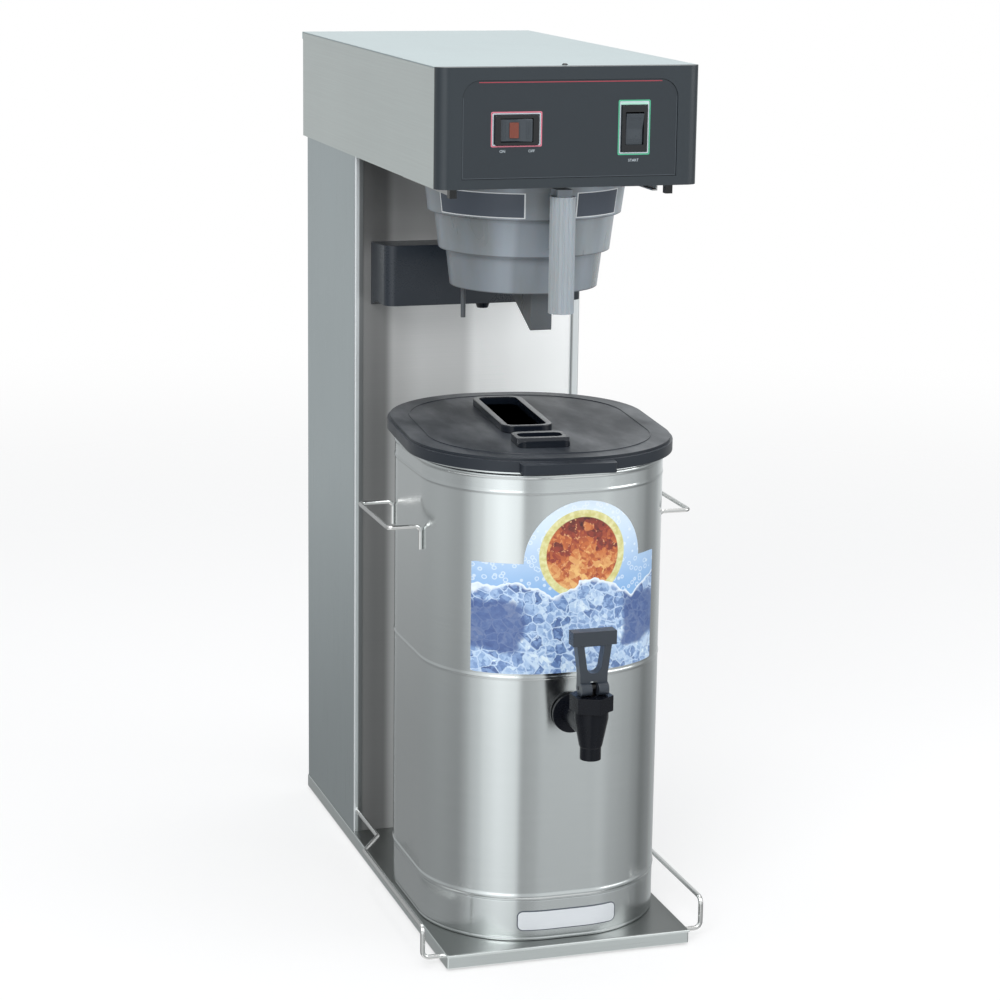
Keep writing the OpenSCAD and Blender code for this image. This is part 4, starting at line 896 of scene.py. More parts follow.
    def folded(self, corners: Profile, low: float, high: float,
               thick: float, bend: float = 1.6, axis: int = 2) -> "Shape":
        """Adds a sheet folded along a line of corners, with round bends.

        Args:
            corners: The fold line's corners in the plane across the axis, on the outer face.
            low: Where the sheet starts along the axis.
            high: Where it ends.
            thick: The sheet's thickness, laid to the left of the line.
            bend: Radius of the bends.
            axis: Index of the axis that the bends run along.

        Returns:
            This shape.
        """
        own = bmesh.new()
        verts = [own.verts.new(lay(corner, low, axis)) for corner in corners]
        for pair in zip(verts, verts[1:]):
            own.edges.new(pair)
        round_off(own, verts[1:-1], bend, 5, "VERTICES")
        made = bmesh.ops.extrude_edge_only(own, edges=own.edges[:])["geom"]
        bmesh.ops.translate(own, vec=lay((0, 0), high - low, axis),
                            verts=only(bmesh.types.BMVert, made))
        bmesh.ops.recalc_face_normals(own, faces=own.faces[:])
        bmesh.ops.solidify(own, geom=own.faces[:], thickness=thick)
        return self.merge(own)

    def oval(self, form: Oval, profile: Profile,
             steps: int = 40) -> "Shape":
        """Adds a lofted oval wall.

        Args:
            form: The oval in plan.
            profile: Points of (distance outside the oval, height) in order.
            steps: Segments in each corner.

        Returns:
            This shape.
        """
        own = bmesh.new()
        form.wall(own, profile, steps)
        return self.merge(own)

    def merge(self, other: bmesh.types.BMesh) -> "Shape":
        """Adds another bmesh and frees it.

        Args:
            other: The bmesh.

        Returns:
            This shape.
        """
        mesh = bpy.data.meshes.new("merge")
        other.to_mesh(mesh)
        other.free()
        return self.take(mesh)

    def take(self, mesh: bpy.types.Mesh) -> "Shape":
        """Adds a mesh that nothing else needs, and removes it.

        Args:
            mesh: The mesh.

        Returns:
            This shape.
        """
        self.bm.from_mesh(mesh)
        bpy.data.meshes.remove(mesh)
        return self

    def traced(self, curve: bpy.types.Curve) -> "Shape":
        """Adds the surface of a curve or text that nothing else needs, and removes it.

        Args:
            curve: The curve or text.

        Returns:
            This shape.
        """
        holder = show(bpy.data.objects.new(curve.name, curve))
        self.take(solid_mesh(holder))
        bpy.data.objects.remove(holder)
        bpy.data.curves.remove(curve)
        return self

    def thick(self, amount: float) -> "Shape":
        """Gives every face a wall.

        Args:
            amount: The wall's thickness, inwards if positive.

        Returns:
            This shape.
        """
        bmesh.ops.remove_doubles(self.bm, verts=self.bm.verts[:], dist=1e-4)
        bmesh.ops.recalc_face_normals(self.bm, faces=self.bm.faces[:])
        bmesh.ops.solidify(self.bm, geom=self.bm.faces[:], thickness=amount)
        return self

    def turn(self, degrees: float, origin: Place, axis: str = "Z") -> "Shape":
        """Turns everything made so far about an axis through a point.

        Args:
            degrees: The angle.
            origin: The point.
            axis: The axis' letter.

        Returns:
            This shape.
        """
        bmesh.ops.rotate(self.bm, cent=Vector(origin),
                         matrix=Matrix.Rotation(math.radians(degrees), 3, axis),
                         verts=self.bm.verts[:])
        return self

    def moved(self, way: Vector) -> "Shape":
        """Moves everything made so far."""
        bmesh.ops.translate(self.bm, vec=way, verts=self.bm.verts[:])
        return self

    def temporary(self) -> bpy.types.Object:
        """Gives a throw-away object with this shape's mesh.

        Returns:
            The object, in the scene.
        """
        bmesh.ops.recalc_face_normals(self.bm, faces=self.bm.faces[:])
        mesh = bpy.data.meshes.new("temporary")
        self.bm.to_mesh(mesh)
        return show(bpy.data.objects.new("temporary", mesh))

    def carve(self, *cutters: "Shape", how: Cut = Cut.AWAY) -> "Shape":
        """Cuts other shapes out of this one, or combines them in another way.

        Args:
            cutters: The other shapes.
            how: What the others do to this one.

        Returns:
            This shape.
        """
        for cutter in cutters:
            body, tool = self.temporary(), cutter.temporary()
            cut = body.modifiers.new("cut", "BOOLEAN")
            cut.operation = how.value
            cut.solver = "EXACT"
            cut.object = tool
            result = solid_mesh(body)
            self.bm.clear()
            self.take(result)
            for thing in (body, tool):
                mesh = thing.data
                bpy.data.objects.remove(thing)
                bpy.data.meshes.remove(mesh)
        return self

    def join(self, *others: "Shape") -> "Shape":
        """Unites other shapes with this one."""
        return self.carve(*others, how=Cut.ADDED)

    def soften(self, width: float, segments: int = 2, angle: float = 35.0) -> "Shape":
        """Rounds every edge sharper than an angle.

        Args:
            width: How far the rounding reaches from each edge.
            segments: Facets across it.
            angle: The angle in degrees.

        Returns:
            This shape.
        """
        bmesh.ops.remove_doubles(self.bm, verts=self.bm.verts[:], dist=NEAR)
        bmesh.ops.dissolve_limit(self.bm, angle_limit=math.radians(0.5),
                                 verts=self.bm.verts[:], edges=self.bm.edges[:])
        edges = [e for e in self.bm.edges if e.is_manifold
                 and e.calc_face_angle(0) > math.radians(angle)]
        round_off(self.bm, edges, width, segments, clamp_overlap=True, loop_slide=True)
        return self


class Workshop:
    """Turns shapes into finished pieces and dresses the CAD nodes that stay."""

    def __init__(self, frame: dict[str, Any], finishes: Finishes) -> None:
        """Keeps the loaded frame and the finishes.

        Args:
            finishes: The machine's materials.
        """
        self.frame = frame
        self.finishes = finishes
        self.slots = {part["node"]: part["material_slot"]
                      for part in frame["record"]["subparts"]}
        self.count = 0

    def piece(self, name: str, shape: Shape, finish: str, body: str,
              stands_for: Sequence[str] = (), slot: str | None = None,
              sharp: float = 32.0, outward: bool = True) -> bpy.types.Object:
        """Makes a finished piece from a shape.

        Args:
            name: The piece's name.
            shape: Its shape in millimetres.
            finish: The name of its finish.
            body: The body that it rides on.
            stands_for: CAD nodes that it replaces.
            slot: The record's material slot, or None for that of the first node; not used.
            sharp: Angle in degrees above which an edge stays sharp.
            outward: Whether the normals are recalculated.

        Returns:
            The new object.
        """
        bm = shape.bm
        bmesh.ops.remove_doubles(bm, verts=bm.verts[:], dist=2e-4)
        if outward:
            bmesh.ops.recalc_face_normals(bm, faces=bm.faces[:])
        bmesh.ops.scale(bm, vec=(MM, MM, MM), verts=bm.verts[:])
        for face in bm.faces:
            face.smooth = True
        for edge in bm.edges:
            edge.smooth = edge.is_manifold and edge.calc_face_angle(0) < math.radians(sharp)
        thing = show(filled(name, bm, self.finishes.get(finish)))
        self.adopt(thing, body, stands_for)
        even = thing.modifiers.new("even_shading", "WEIGHTED_NORMAL")
        even.keep_sharp = True
        return thing

    def adopt(self, thing: bpy.types.Object, body: str, stands_for: Sequence[str]) -> None:
        """Hangs a piece on the body that it rides on and hides the CAD nodes that it replaces.

        Args:
            thing: The piece.
            body: The body that it rides on.
            stands_for: CAD nodes that it replaces.
        """
        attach(thing, body)
        if stands_for:
            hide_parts(*stands_for)
        self.count += 1
        LOG.info("piece %s on %s: %d faces", thing.name, body, len(thing.data.polygons))

    def wire(self, name: str, route: Sequence[Vector], radius: float, bend: float, finish: str,
             body: str, stands_for: Sequence[str]) -> bpy.types.Object:
        """Makes a bent wire along a route with round bends and slightly rounded ends.

        Args:
            name: The piece's name.
            route: The route's corners in millimetres.
            radius: The wire's radius.
            bend: Radius of the bends, to the wire's middle.
            finish: The name of its finish.
            body: The body that it rides on.
            stands_for: CAD nodes that it replaces.

        Returns:
            The new object.
        """
        path = [route[0]]
        for a, b, c in zip(route, route[1:], route[2:]):
            path += self.arc(a, b, c, bend)
        path.append(route[-1])
        curve = bpy.data.curves.new(name + "_line", "CURVE")
        curve.dimensions = "3D"
        curve.bevel_depth = radius
        curve.bevel_resolution = 5
        curve.use_fill_caps = True
        spline = curve.splines.new("POLY")
        spline.points.add(len(path) - 1)
        for point, co in zip(spline.points, path):
            point.co = (*co, 1.0)
        return self.piece(name, Shape().traced(curve), finish, body, stands_for)

    @staticmethod
    def arc(a: Vector, b: Vector, c: Vector, bend: float, steps: int = 8) -> list[Vector]:
        """Gives the points of the round bend at a corner.

        Args:
            a: The point before the corner.
            b: The corner.
            c: The point after it.
            bend: The bend's radius.
            steps: Segments of the bend.

        Returns:
            The bend's points in order.
        """
        u, v = (a - b).normalized(), (c - b).normalized()
        half = u.angle(v) / 2
        middle = b + (u + v).normalized() * bend / math.sin(half)
        first, last = b + u * bend / math.tan(half) - middle, b + v * bend / math.tan(half) - middle
        sweep = math.pi - 2 * half
        return [middle + (math.sin((1 - k / steps) * sweep) * first
                          + math.sin(k / steps * sweep) * last) / math.sin(sweep)
                for k in range(steps + 1)]

    def dress(self, finish: str, *nodes: str) -> None:
        """Gives CAD nodes that stay in view a finish.

        Args:
            finish: The finish's name.
            nodes: The nodes' names.
        """
        for name in nodes:
            thing = self.frame["nodes"][name]
            if not thing.material_slots:
                thing.data.materials.append(self.finishes.get(finish))
            for slot in thing.material_slots:
                slot.material = self.finishes.get(finish)
            LOG.info("node %s dressed as %s", name, finish)

    def repaint(self, thing: bpy.types.Object, finish: str,
                where: Callable[[Vector, Vector], bool]) -> None:
        """Gives some of a piece's faces a second finish.

        Args:
            thing: The piece.
            finish: The second finish's name.
            where: Says from a face's middle in millimetres and its normal whether it is one.
        """
        mesh = thing.data
        mesh.materials.append(self.finishes.get(finish))
        for face in mesh.polygons:
            if where(face.center / MM, face.normal):
                face.material_index = len(mesh.materials) - 1

    def smoothed(self, node: str, finish: str, body: str, width: float = 0.0,
                 sharp: float = 32.0) -> bpy.types.Object:
        """Stands a merged, smooth-shaded copy of a CAD node in its place.

        Args:
            node: The node that is copied and replaced.
            finish: The name of the copy's finish.
            body: The body that it rides on.
            width: Radius given to its sharp edges, or 0.
            sharp: Angle in degrees above which an edge stays sharp.

        Returns:
            The new object.
        """
        shape = Shape()
        shape.bm.from_mesh(self.frame["nodes"][node].data)
        bmesh.ops.scale(shape.bm, vec=(1 / MM,) * 3, verts=shape.bm.verts[:])
        bmesh.ops.remove_doubles(shape.bm, verts=shape.bm.verts[:], dist=2e-3)
        if width > 0:
            shape.soften(width)
        return self.piece(node + "_form", shape, finish, body, (node,), sharp=sharp)


# ---------------------------------------------------------------- studio


@dataclass
class Studio:
    """Camera, lamps, pale floor and the wall that the metal mirrors."""

    eye: tuple[float, float, float] = (-0.8791, -2.7433, 1.0909)
    yaw: float = 17.85
    pitch: float = 13.14
    roll: float = -0.82
    lens: float = 99.36
    ambient: float = 0.62
    floor_radius: float = 6.0
    fade: tuple[float, float] = (1.2, 3.4)
    wall_radius: float = 4.0
    wall_low: float = -4.0
    wall_high: float = 5.0

    def camera(self) -> None:
        """Sets the camera at the photograph's place and angle."""
        yaw, pitch, roll = (math.radians(a) for a in (self.yaw, self.pitch, self.roll))
        ahead = Vector((math.sin(yaw) * math.cos(pitch), math.cos(yaw) * math.cos(pitch),
                        -math.sin(pitch)))
        right = Vector((math.cos(yaw), -math.sin(yaw), 0))
        down = ahead.cross(right)
        right, down = (math.cos(roll) * right + math.sin(roll) * down,
                       math.cos(roll) * down - math.sin(roll) * right)
        data = bpy.data.cameras.new("camera")
        data.lens, data.sensor_width = self.lens, 36.0
        data.clip_start, data.clip_end = 0.05, 50.0
        camera = show(bpy.data.objects.new("camera", data))
        turn = Matrix((right, -down, -ahead)).transposed().to_4x4()
        camera.matrix_world = Matrix.Translation(self.eye) @ turn
        bpy.context.scene.camera = camera

    def world(self) -> None:
        """Makes the world white to the eye, to gloss and to glass, and plain grey as a light."""
        world = bpy.data.worlds.new("studio_world")
        bpy.context.scene.world = world
        world.use_nodes = True
        tree = world.node_tree
        tree.nodes.clear()
        out = tree.nodes.new("ShaderNodeOutputWorld")
        path = tree.nodes.new("ShaderNodeLightPath")
        seen = path.outputs["Is Camera Ray"]
        for name in ("Is Glossy Ray", "Is Transmission Ray"):
            add = tree.nodes.new("ShaderNodeMath")
            add.operation = "MAXIMUM"
            tree.links.new(seen, add.inputs[0])
            tree.links.new(path.outputs[name], add.inputs[1])
            seen = add.outputs[0]
        mix = tree.nodes.new("ShaderNodeMixShader")
        tree.links.new(seen, mix.inputs[0])
        for slot, (colour, strength) in enumerate((((0.95, 0.97, 1.0), self.ambient),
                                                   ((1.0, 1.0, 1.0), 1.0)), 1):
            back = tree.nodes.new("ShaderNodeBackground")
            back.inputs["Color"].default_value = (*colour, 1.0)
            back.inputs["Strength"].default_value = strength
            tree.links.new(back.outputs[0], mix.inputs[slot])
        tree.links.new(mix.outputs[0], out.inputs["Surface"])

    def lamp(self, name: str, place: Place, aim: Place, size: float,
             watts: float, glossy: bool = True) -> None:
        """Hangs a soft square lamp.

        Args:
            name: The lamp's name.
            place: Where it hangs, in metres.
            aim: The point that it faces.
            size: Length of its side.
            watts: Its power.
            glossy: Whether metal mirrors it.
        """
        data = bpy.data.lights.new(name, "AREA")
        data.size, data.energy = size, watts
        lamp = show(bpy.data.objects.new(name, data))
        lamp.location = place
        lamp.rotation_mode = "QUATERNION"
        lamp.rotation_quaternion = (Vector(aim) - Vector(place)).to_track_quat("-Z", "Y")
        lamp.visible_glossy = glossy
        lamp.visible_camera = False

    def floor(self) -> None:
        """Lays the pale floor, which fades into the white surround."""
        bm = bmesh.new()
        bmesh.ops.create_circle(bm, cap_ends=True, segments=96, radius=self.floor_radius)
        t = Tree("floor_paper")
        t.set(Base_Color=(0.9, 0.9, 0.9), Roughness=0.9, Specular_IOR_Level=0.0)
        x, y, _ = t.split()
        far = t.reach(x, y)
        white = t.add("Emission", {"Color": (1.0, 1.0, 1.0)})
        seen = t.add("LightPath").outputs["Is Camera Ray"]
        paper = t.add("MixShader", {0: t.product(seen, 0.6), 1: t.shader.outputs[0],
                                    2: white.outputs[0]})
        blend = t.add("MixShader", {0: t.span(far, *self.fade), 1: paper.outputs[0],
                                    2: t.add("BsdfTransparent").outputs[0]})
        t.link(blend.outputs[0], t.out.inputs["Surface"])
        floor = show(filled("floor", bm, t.material))
        floor.visible_glossy = False

    def wall(self) -> None:
        """Stands a round studio wall that only gloss sees, with darker and lighter bays."""
        bm = bmesh.new()
        made = bmesh.ops.create_circle(bm, segments=96, radius=self.wall_radius,
                                       matrix=Matrix.Translation((0, 0, self.wall_low)))
        foot = list({e for v in made["verts"] for e in v.link_edges})
        up = bmesh.ops.extrude_edge_only(bm, edges=foot)["geom"]
        bmesh.ops.translate(bm, vec=(0, 0, self.wall_high - self.wall_low),
                            verts=only(bmesh.types.BMVert, up))
        t = Tree("studio_wall_paint")
        x, y, z = t.split()
        turn = t.product(t.math("ARCTAN2", x, t.product(y, -1.0)), 180 / math.pi)
        bays = ((-180, 0.5), (-162, 0.48), (-145, 0.5), (-112, 0.53), (-84, 0.47), (-76, 0.62),
                (-68, 0.86), (-59, 0.98), (-55, 1.2), (-38, 1.44), (-24, 1.32), (-19.5, 1.24),
                (-14.5, 0.6), (-2, 0.7), (8, 0.85), (17, 0.86), (25, 0.84), (34, 0.88),
                (50, 0.68), (70, 0.6), (84, 0.48), (96, 0.32), (112, 0.42), (132, 0.66),
                (150, 0.82), (168, 0.82), (176, 0.7), (180, 0.5))
        paint = t.ramp(turn, [(at, (level * 0.48, level * 0.495, level * 0.5))
                              for at, level in bays], "EASE")
        level = t.ramp(z, ((-1.1, 0.61), (-0.85, 0.71), (-0.7, 0.78), (-0.58, 0.86), (-0.5, 0.95),
                           (-0.42, 1.0), (-0.2, 0.94), (2.0, 0.92)))
        glow = t.add("Emission", {"Color": paint, "Strength": t.product(level, 2.2)})
        t.link(glow.outputs[0], t.out.inputs["Surface"])
        wall = show(filled("studio_wall", bm, t.material))
        wall.visible_camera = wall.visible_diffuse = wall.visible_shadow = False
        wall.visible_transmission = wall.visible_volume_scatter = False

    def build(self) -> None:
        """Sets up everything round the machine."""
        bpy.context.scene.view_settings.view_transform = "Standard"
        self.camera()
        self.world()
        self.floor()
        self.wall()
        self.lamp("key_lamp", (-1.7, -2.4, 2.6), (0, -0.1, 0.5), 1.6, 60.0)
        self.lamp("fill_lamp", (2.3, -1.6, 1.5), (0, -0.1, 0.4), 1.8, 22.0)
        self.lamp("top_lamp", (0.1, 0.3, 3.0), (0, -0.1, 0.6), 1.6, 26.0)


# ---------------------------------------------------------------- column and tray


@dataclass
class Column:
    """Tray, trunk, splash panel, feet and guide wires of the machine."""

    shop: Workshop
    tray_w: float = 260.0
    tray_d: float = 585.5
    tray_sheet: float = 1.5
    hem: float = 1.5
    foot_x: float = 100.0
    foot_depths: tuple[float, float] = (30.0, 557.0)
    flange: float = 10.0
    rear_holes: Profile = ((60.0, 6.2), (-88.0, 11.2))
    rear_hole_z: float = 70.0
    panel_w: float = 255.4
    panel_depths: tuple[float, float] = (208.65, 209.75)
    pipe_z: float = 662.0
    pipe_hole_r: float = 6.5
    wire_r: float = 2.5
    wire_in: float = 124.0
    wire_out: float = 150.0
    wire_depths: tuple[float, float, float, float] = (211.1, 298.0, 339.0, 566.0)
    wire_z: float = 42.0
    wire_foot_z: float = 9.5
    box_w: float = 220.0
    box_rear: float = 209.85
    box_front: float = 272.0

    def build(self) -> None:
        """Builds every piece of the column."""
        self.tray()
        self.trunk()
        self.wires()
        self.housing()

    def tray(self) -> None:
        """Makes the folded tray with its rolled front hem, and the rubber feet."""
        at, w, d, sheet = LAY.at, self.tray_w / 2, self.tray_d, self.tray_sheet
        pan = Shape().round_block(at(-w, d, 2), at(w, 0, LAY.tray_top), (2.5,) * 4, 2, 0.0, 5)
        pan.soften(1.4, 3, 60)
        pan.carve(Shape().block(at(-w + sheet, d - sheet, -5),
                                at(w - sheet, sheet, LAY.tray_top - sheet)))
        rim = LAY.tray_top - self.hem
        pan.rod(at(-w, d, rim), at(w, d, rim), self.hem, 0.3)
        tray = self.shop.piece("tray_pan", pan, "steel_tray_painted_shade", "machine", ("base_tray",))
        # The tray's upright faces get the brighter copy: painted light on its sides, while the top
        # keeps painted shade.
        self.shop.repaint(tray, "tray_sides_painted_light", lambda middle, normal: abs(normal.z) < 0.9)
        feet = Shape()
        foot = [(0, 0.6), (8, 0.6), (9.5, 0), (11.2, 0), (12, 0.8), (12, 13.2), (11, 15.4),
                (0, 15.4)]
        for x in (-self.foot_x, self.foot_x):
            for depth in self.foot_depths:
                feet.turned(foot, at(x, depth, 0), steps=40)
        self.shop.piece("foot_pads", feet, "rubber_black", "machine", ("rubber_feet",))

    def trunk(self) -> None:
        """Makes the folded trunk and the splash panel behind its front flanges."""
        at, w, d = LAY.at, LAY.trunk_w / 2, LAY.trunk_d
        plan = [(w - self.flange, d), (w, d), (w, 0), (-w, 0), (-w, d), (-w + self.flange, d)]
        trunk = Shape().folded([(x, LAY.rear - depth) for x, depth in plan], LAY.tray_top + 0.1,
                               LAY.hood_floor_z - 0.1, LAY.sheet, 2.6)
        for x, radius in self.rear_holes:
            trunk.carve(Shape().rod(at(x, -5, self.rear_hole_z), at(x, 8, self.rear_hole_z),
                                    radius))
        # The trunk's sheet carries painted shade, darker towards the bottom.
        wrap = self.shop.piece("trunk_wrap", trunk, "steel_column_painted_shade", "machine", ("trunk_shell",))
        # The front flanges get the painted highlight and painted shade strips.
        self.shop.repaint(wrap, "steel_flange_painted_light", lambda middle, normal:
                          normal.y < -0.55 and middle.y < LAY.rear - d + 3)
        back, face = self.panel_depths
        panel = Shape().block(at(-self.panel_w / 2, face, LAY.tray_top + 0.1),
                              at(self.panel_w / 2, back, LAY.hood_floor_z - 0.1), 0.25, 1)
        panel.carve(Shape().rod(at(0, back - 4, self.pipe_z), at(0, face + 5, self.pipe_z),
                                self.pipe_hole_r))
        # The splash panel carries painted shade, painted highlight and a painted glow.
        self.shop.piece("splash_back", panel, "steel_splash_painted_light", "machine", ("splash_panel",))

    def wires(self) -> None:
        """Bends both guide wires round the dispenser's place."""
        start, inner, outer, front = self.wire_depths
        for side, s in (("left", -1), ("right", 1)):
            high = [(self.wire_in, start), (self.wire_in, inner), (self.wire_out, outer),
                    (self.wire_out, front)]
            route = [LAY.at(s * x, depth, self.wire_z) for x, depth in high]
            route += [LAY.at(s * x, front, self.wire_foot_z)
                      for x in (self.wire_out, self.tray_w / 2 - 0.1)]
            self.shop.wire(f"{side}_rail_wire", route, self.wire_r, 7.0, "bright_wire",
                           "machine", (f"{side}_guide_wire",))

    def housing(self) -> None:
        """Makes the dark dilution housing and its nozzle."""
        box = self.dilution_form(0.0, 12.0)
        box.soften(1.6, 3, 50)
        box.carve(self.dilution_form(2.5, 9.5))
        self.shop.piece("dilution_box", box, "box_black", "machine", ("dilution_housing",))
        self.shop.smoothed("dilution_nozzle", "gloss_black", "machine", 0.4)

    def dilution_form(self, inset: float, radius: float) -> Shape:
        """Gives the dilution housing's form, whose floor and top slope up towards the front.

        Args:
            inset: How far every face lies inside the outer form; the rear stays open.
            radius: Radius of the two front corners.

        Returns:
            The form as a solid.
        """
        k, w = inset, self.box_w / 2
        rear = self.box_rear - (8.0 if inset > 0 else 0.0)
        form = Shape().round_block(LAY.at(-w + k, self.box_front - k, 610),
                                   LAY.at(w - k, rear, 700), (radius, radius, 0, 0), 2, 0.0, 10)
        side = [(rear, 617 + k), (210 + k * 0.2, 617 + k), (232 + k * 0.2, 624 + k),
                (280, 624 + k), (280, 688.9 - k), (rear, 685 - k)]
        return form.carve(Shape().prism([(LAY.rear - depth, z) for depth, z in side],
                                        -130, 130, 0), how=Cut.WITHIN)


# ---------------------------------------------------------------- hood and controls


@dataclass
class Hood:
    """Sheet metal of the hood with its cover, floor, rails and sprayhead."""

    shop: Workshop
    bend: float = 2.0
    lip_low: float = 887.0
    screw_x: float = 107.2
    screw_z: float = 891.0
    screw_depth: float = 518.0
    rail_face: float = 509.8

    def build(self) -> None:
        """Builds every piece of the hood."""
        self.shell()
        self.cover()
        self.underside()

    def shell(self) -> None:
        """Makes the wrapped sides and rear, and the strip behind the fascia."""
        at, w = LAY.at, LAY.hood_w / 2
        plan = [(w, LAY.hood_len), (w, 0), (-w, 0), (-w, LAY.hood_len)]
        wrap = Shape().folded([(x, LAY.rear - depth) for x, depth in plan], LAY.hood_z,
                              LAY.hood_high, LAY.sheet, self.bend)
        slot = LAY.trunk_w / 2 + 0.4
        wrap.carve(Shape().block(at(-slot, 3, 770), at(slot, -3, LAY.hood_floor_z + 0.05)))
        wrap.block(at(-132.7, 526, 892.6), at(132.7, 509, 893.75), 0.25, 1)
        self.shop.piece("hood_wrap", wrap, "steel_side", "machine", ("hood_shell",))

    def cover(self) -> None:
        """Makes the cover with its folded rear lip, and the three screws that hold it."""
        w = LAY.hood_w / 2
        line = [(LAY.rear - LAY.hood_len, LAY.top_z), (LAY.rear + 2, LAY.top_z),
                (LAY.rear + 2, self.lip_low)]
        lid = Shape().folded(line, -w, w, LAY.sheet, 1.8, axis=0)
        lid.soften(0.35, 2, 60)
        self.shop.piece("hood_lid", lid, "steel_top", "machine", ("hood_cover",))
        screws = Shape()
        dome = [(0, 1.6), (1.3, 1.5), (2.3, 1.05), (2.9, 0.4), (3, 0), (1.5, 0), (1.5, -5.9),
                (0, -6)]
        screws.turned(dome, LAY.at(0, self.screw_depth, LAY.top_z), steps=28)
        for x in (-self.screw_x, self.screw_x):
            screws.turned(dome, LAY.at(x, -2, self.screw_z), (0, 1, 0), 28)
        screws.carve(Shape().block(LAY.at(-2, self.screw_depth + 0.35, LAY.top_z + 0.9),
                                   LAY.at(2, self.screw_depth - 0.35, LAY.top_z + 3)))
        self.shop.piece("cover_fixings", screws, "switch_black", "machine", ("cover_screws",))

    def underside(self) -> None:
        """Makes the hood floor, the funnel's rails, and the sprayhead with its nut."""
        self.shop.dress("steel_inner", "hood_floor")
        rails = self.shop.smoothed("funnel_rails", "steel_inner", "machine")
        self.shop.repaint(rails, "switch_black", lambda middle, normal:
                          middle.y < LAY.rear - self.rail_face and 767 < middle.z < 780.5)
        self.shop.smoothed("sprayhead", "gloss_black", "machine", 0.4)
        self.shop.smoothed("sprayhead_nut", "nylon_white", "machine", 0.3)


@dataclass(frozen=True)
class Switch:
    """Place and sizes of a rocker switch; each pair of sizes is width and height."""

    name: str
    place: tuple[float, float]
    bezel: tuple[float, float]
    well: tuple[float, float]
    hole: tuple[float, float]
    frame: tuple[float, float]
    frame_colour: str
    key_long: float
    key_wide: float
    tilt: float
    upright: bool = False

    def block(self, size: tuple[float, float], near: float, far: float,
              bevel: float = 0.0) -> Shape:
        """Gives a box centred on the switch.

        Args:
            size: The box's width and height.
            near: Depth of its face.
            far: Depth of its back.
            bevel: Radius of its edges, or 0.

        Returns:
            The box.
        """
        return Shape().block(*self.span(size, near, far), bevel, 1)

    def span(self, size: tuple[float, float], near: float, far: float) -> tuple[Vector, Vector]:
        """Gives the lowest and highest corners of a box centred on the switch.

        Args:
            size: The box's width and height.
            near: Depth of its face.
            far: Depth of its back.

        Returns:
            The two corners.
        """
        (x, z), (wide, high) = self.place, size
        return (LAY.at(x - wide / 2, near, z - high / 2),
                LAY.at(x + wide / 2, far, z + high / 2))


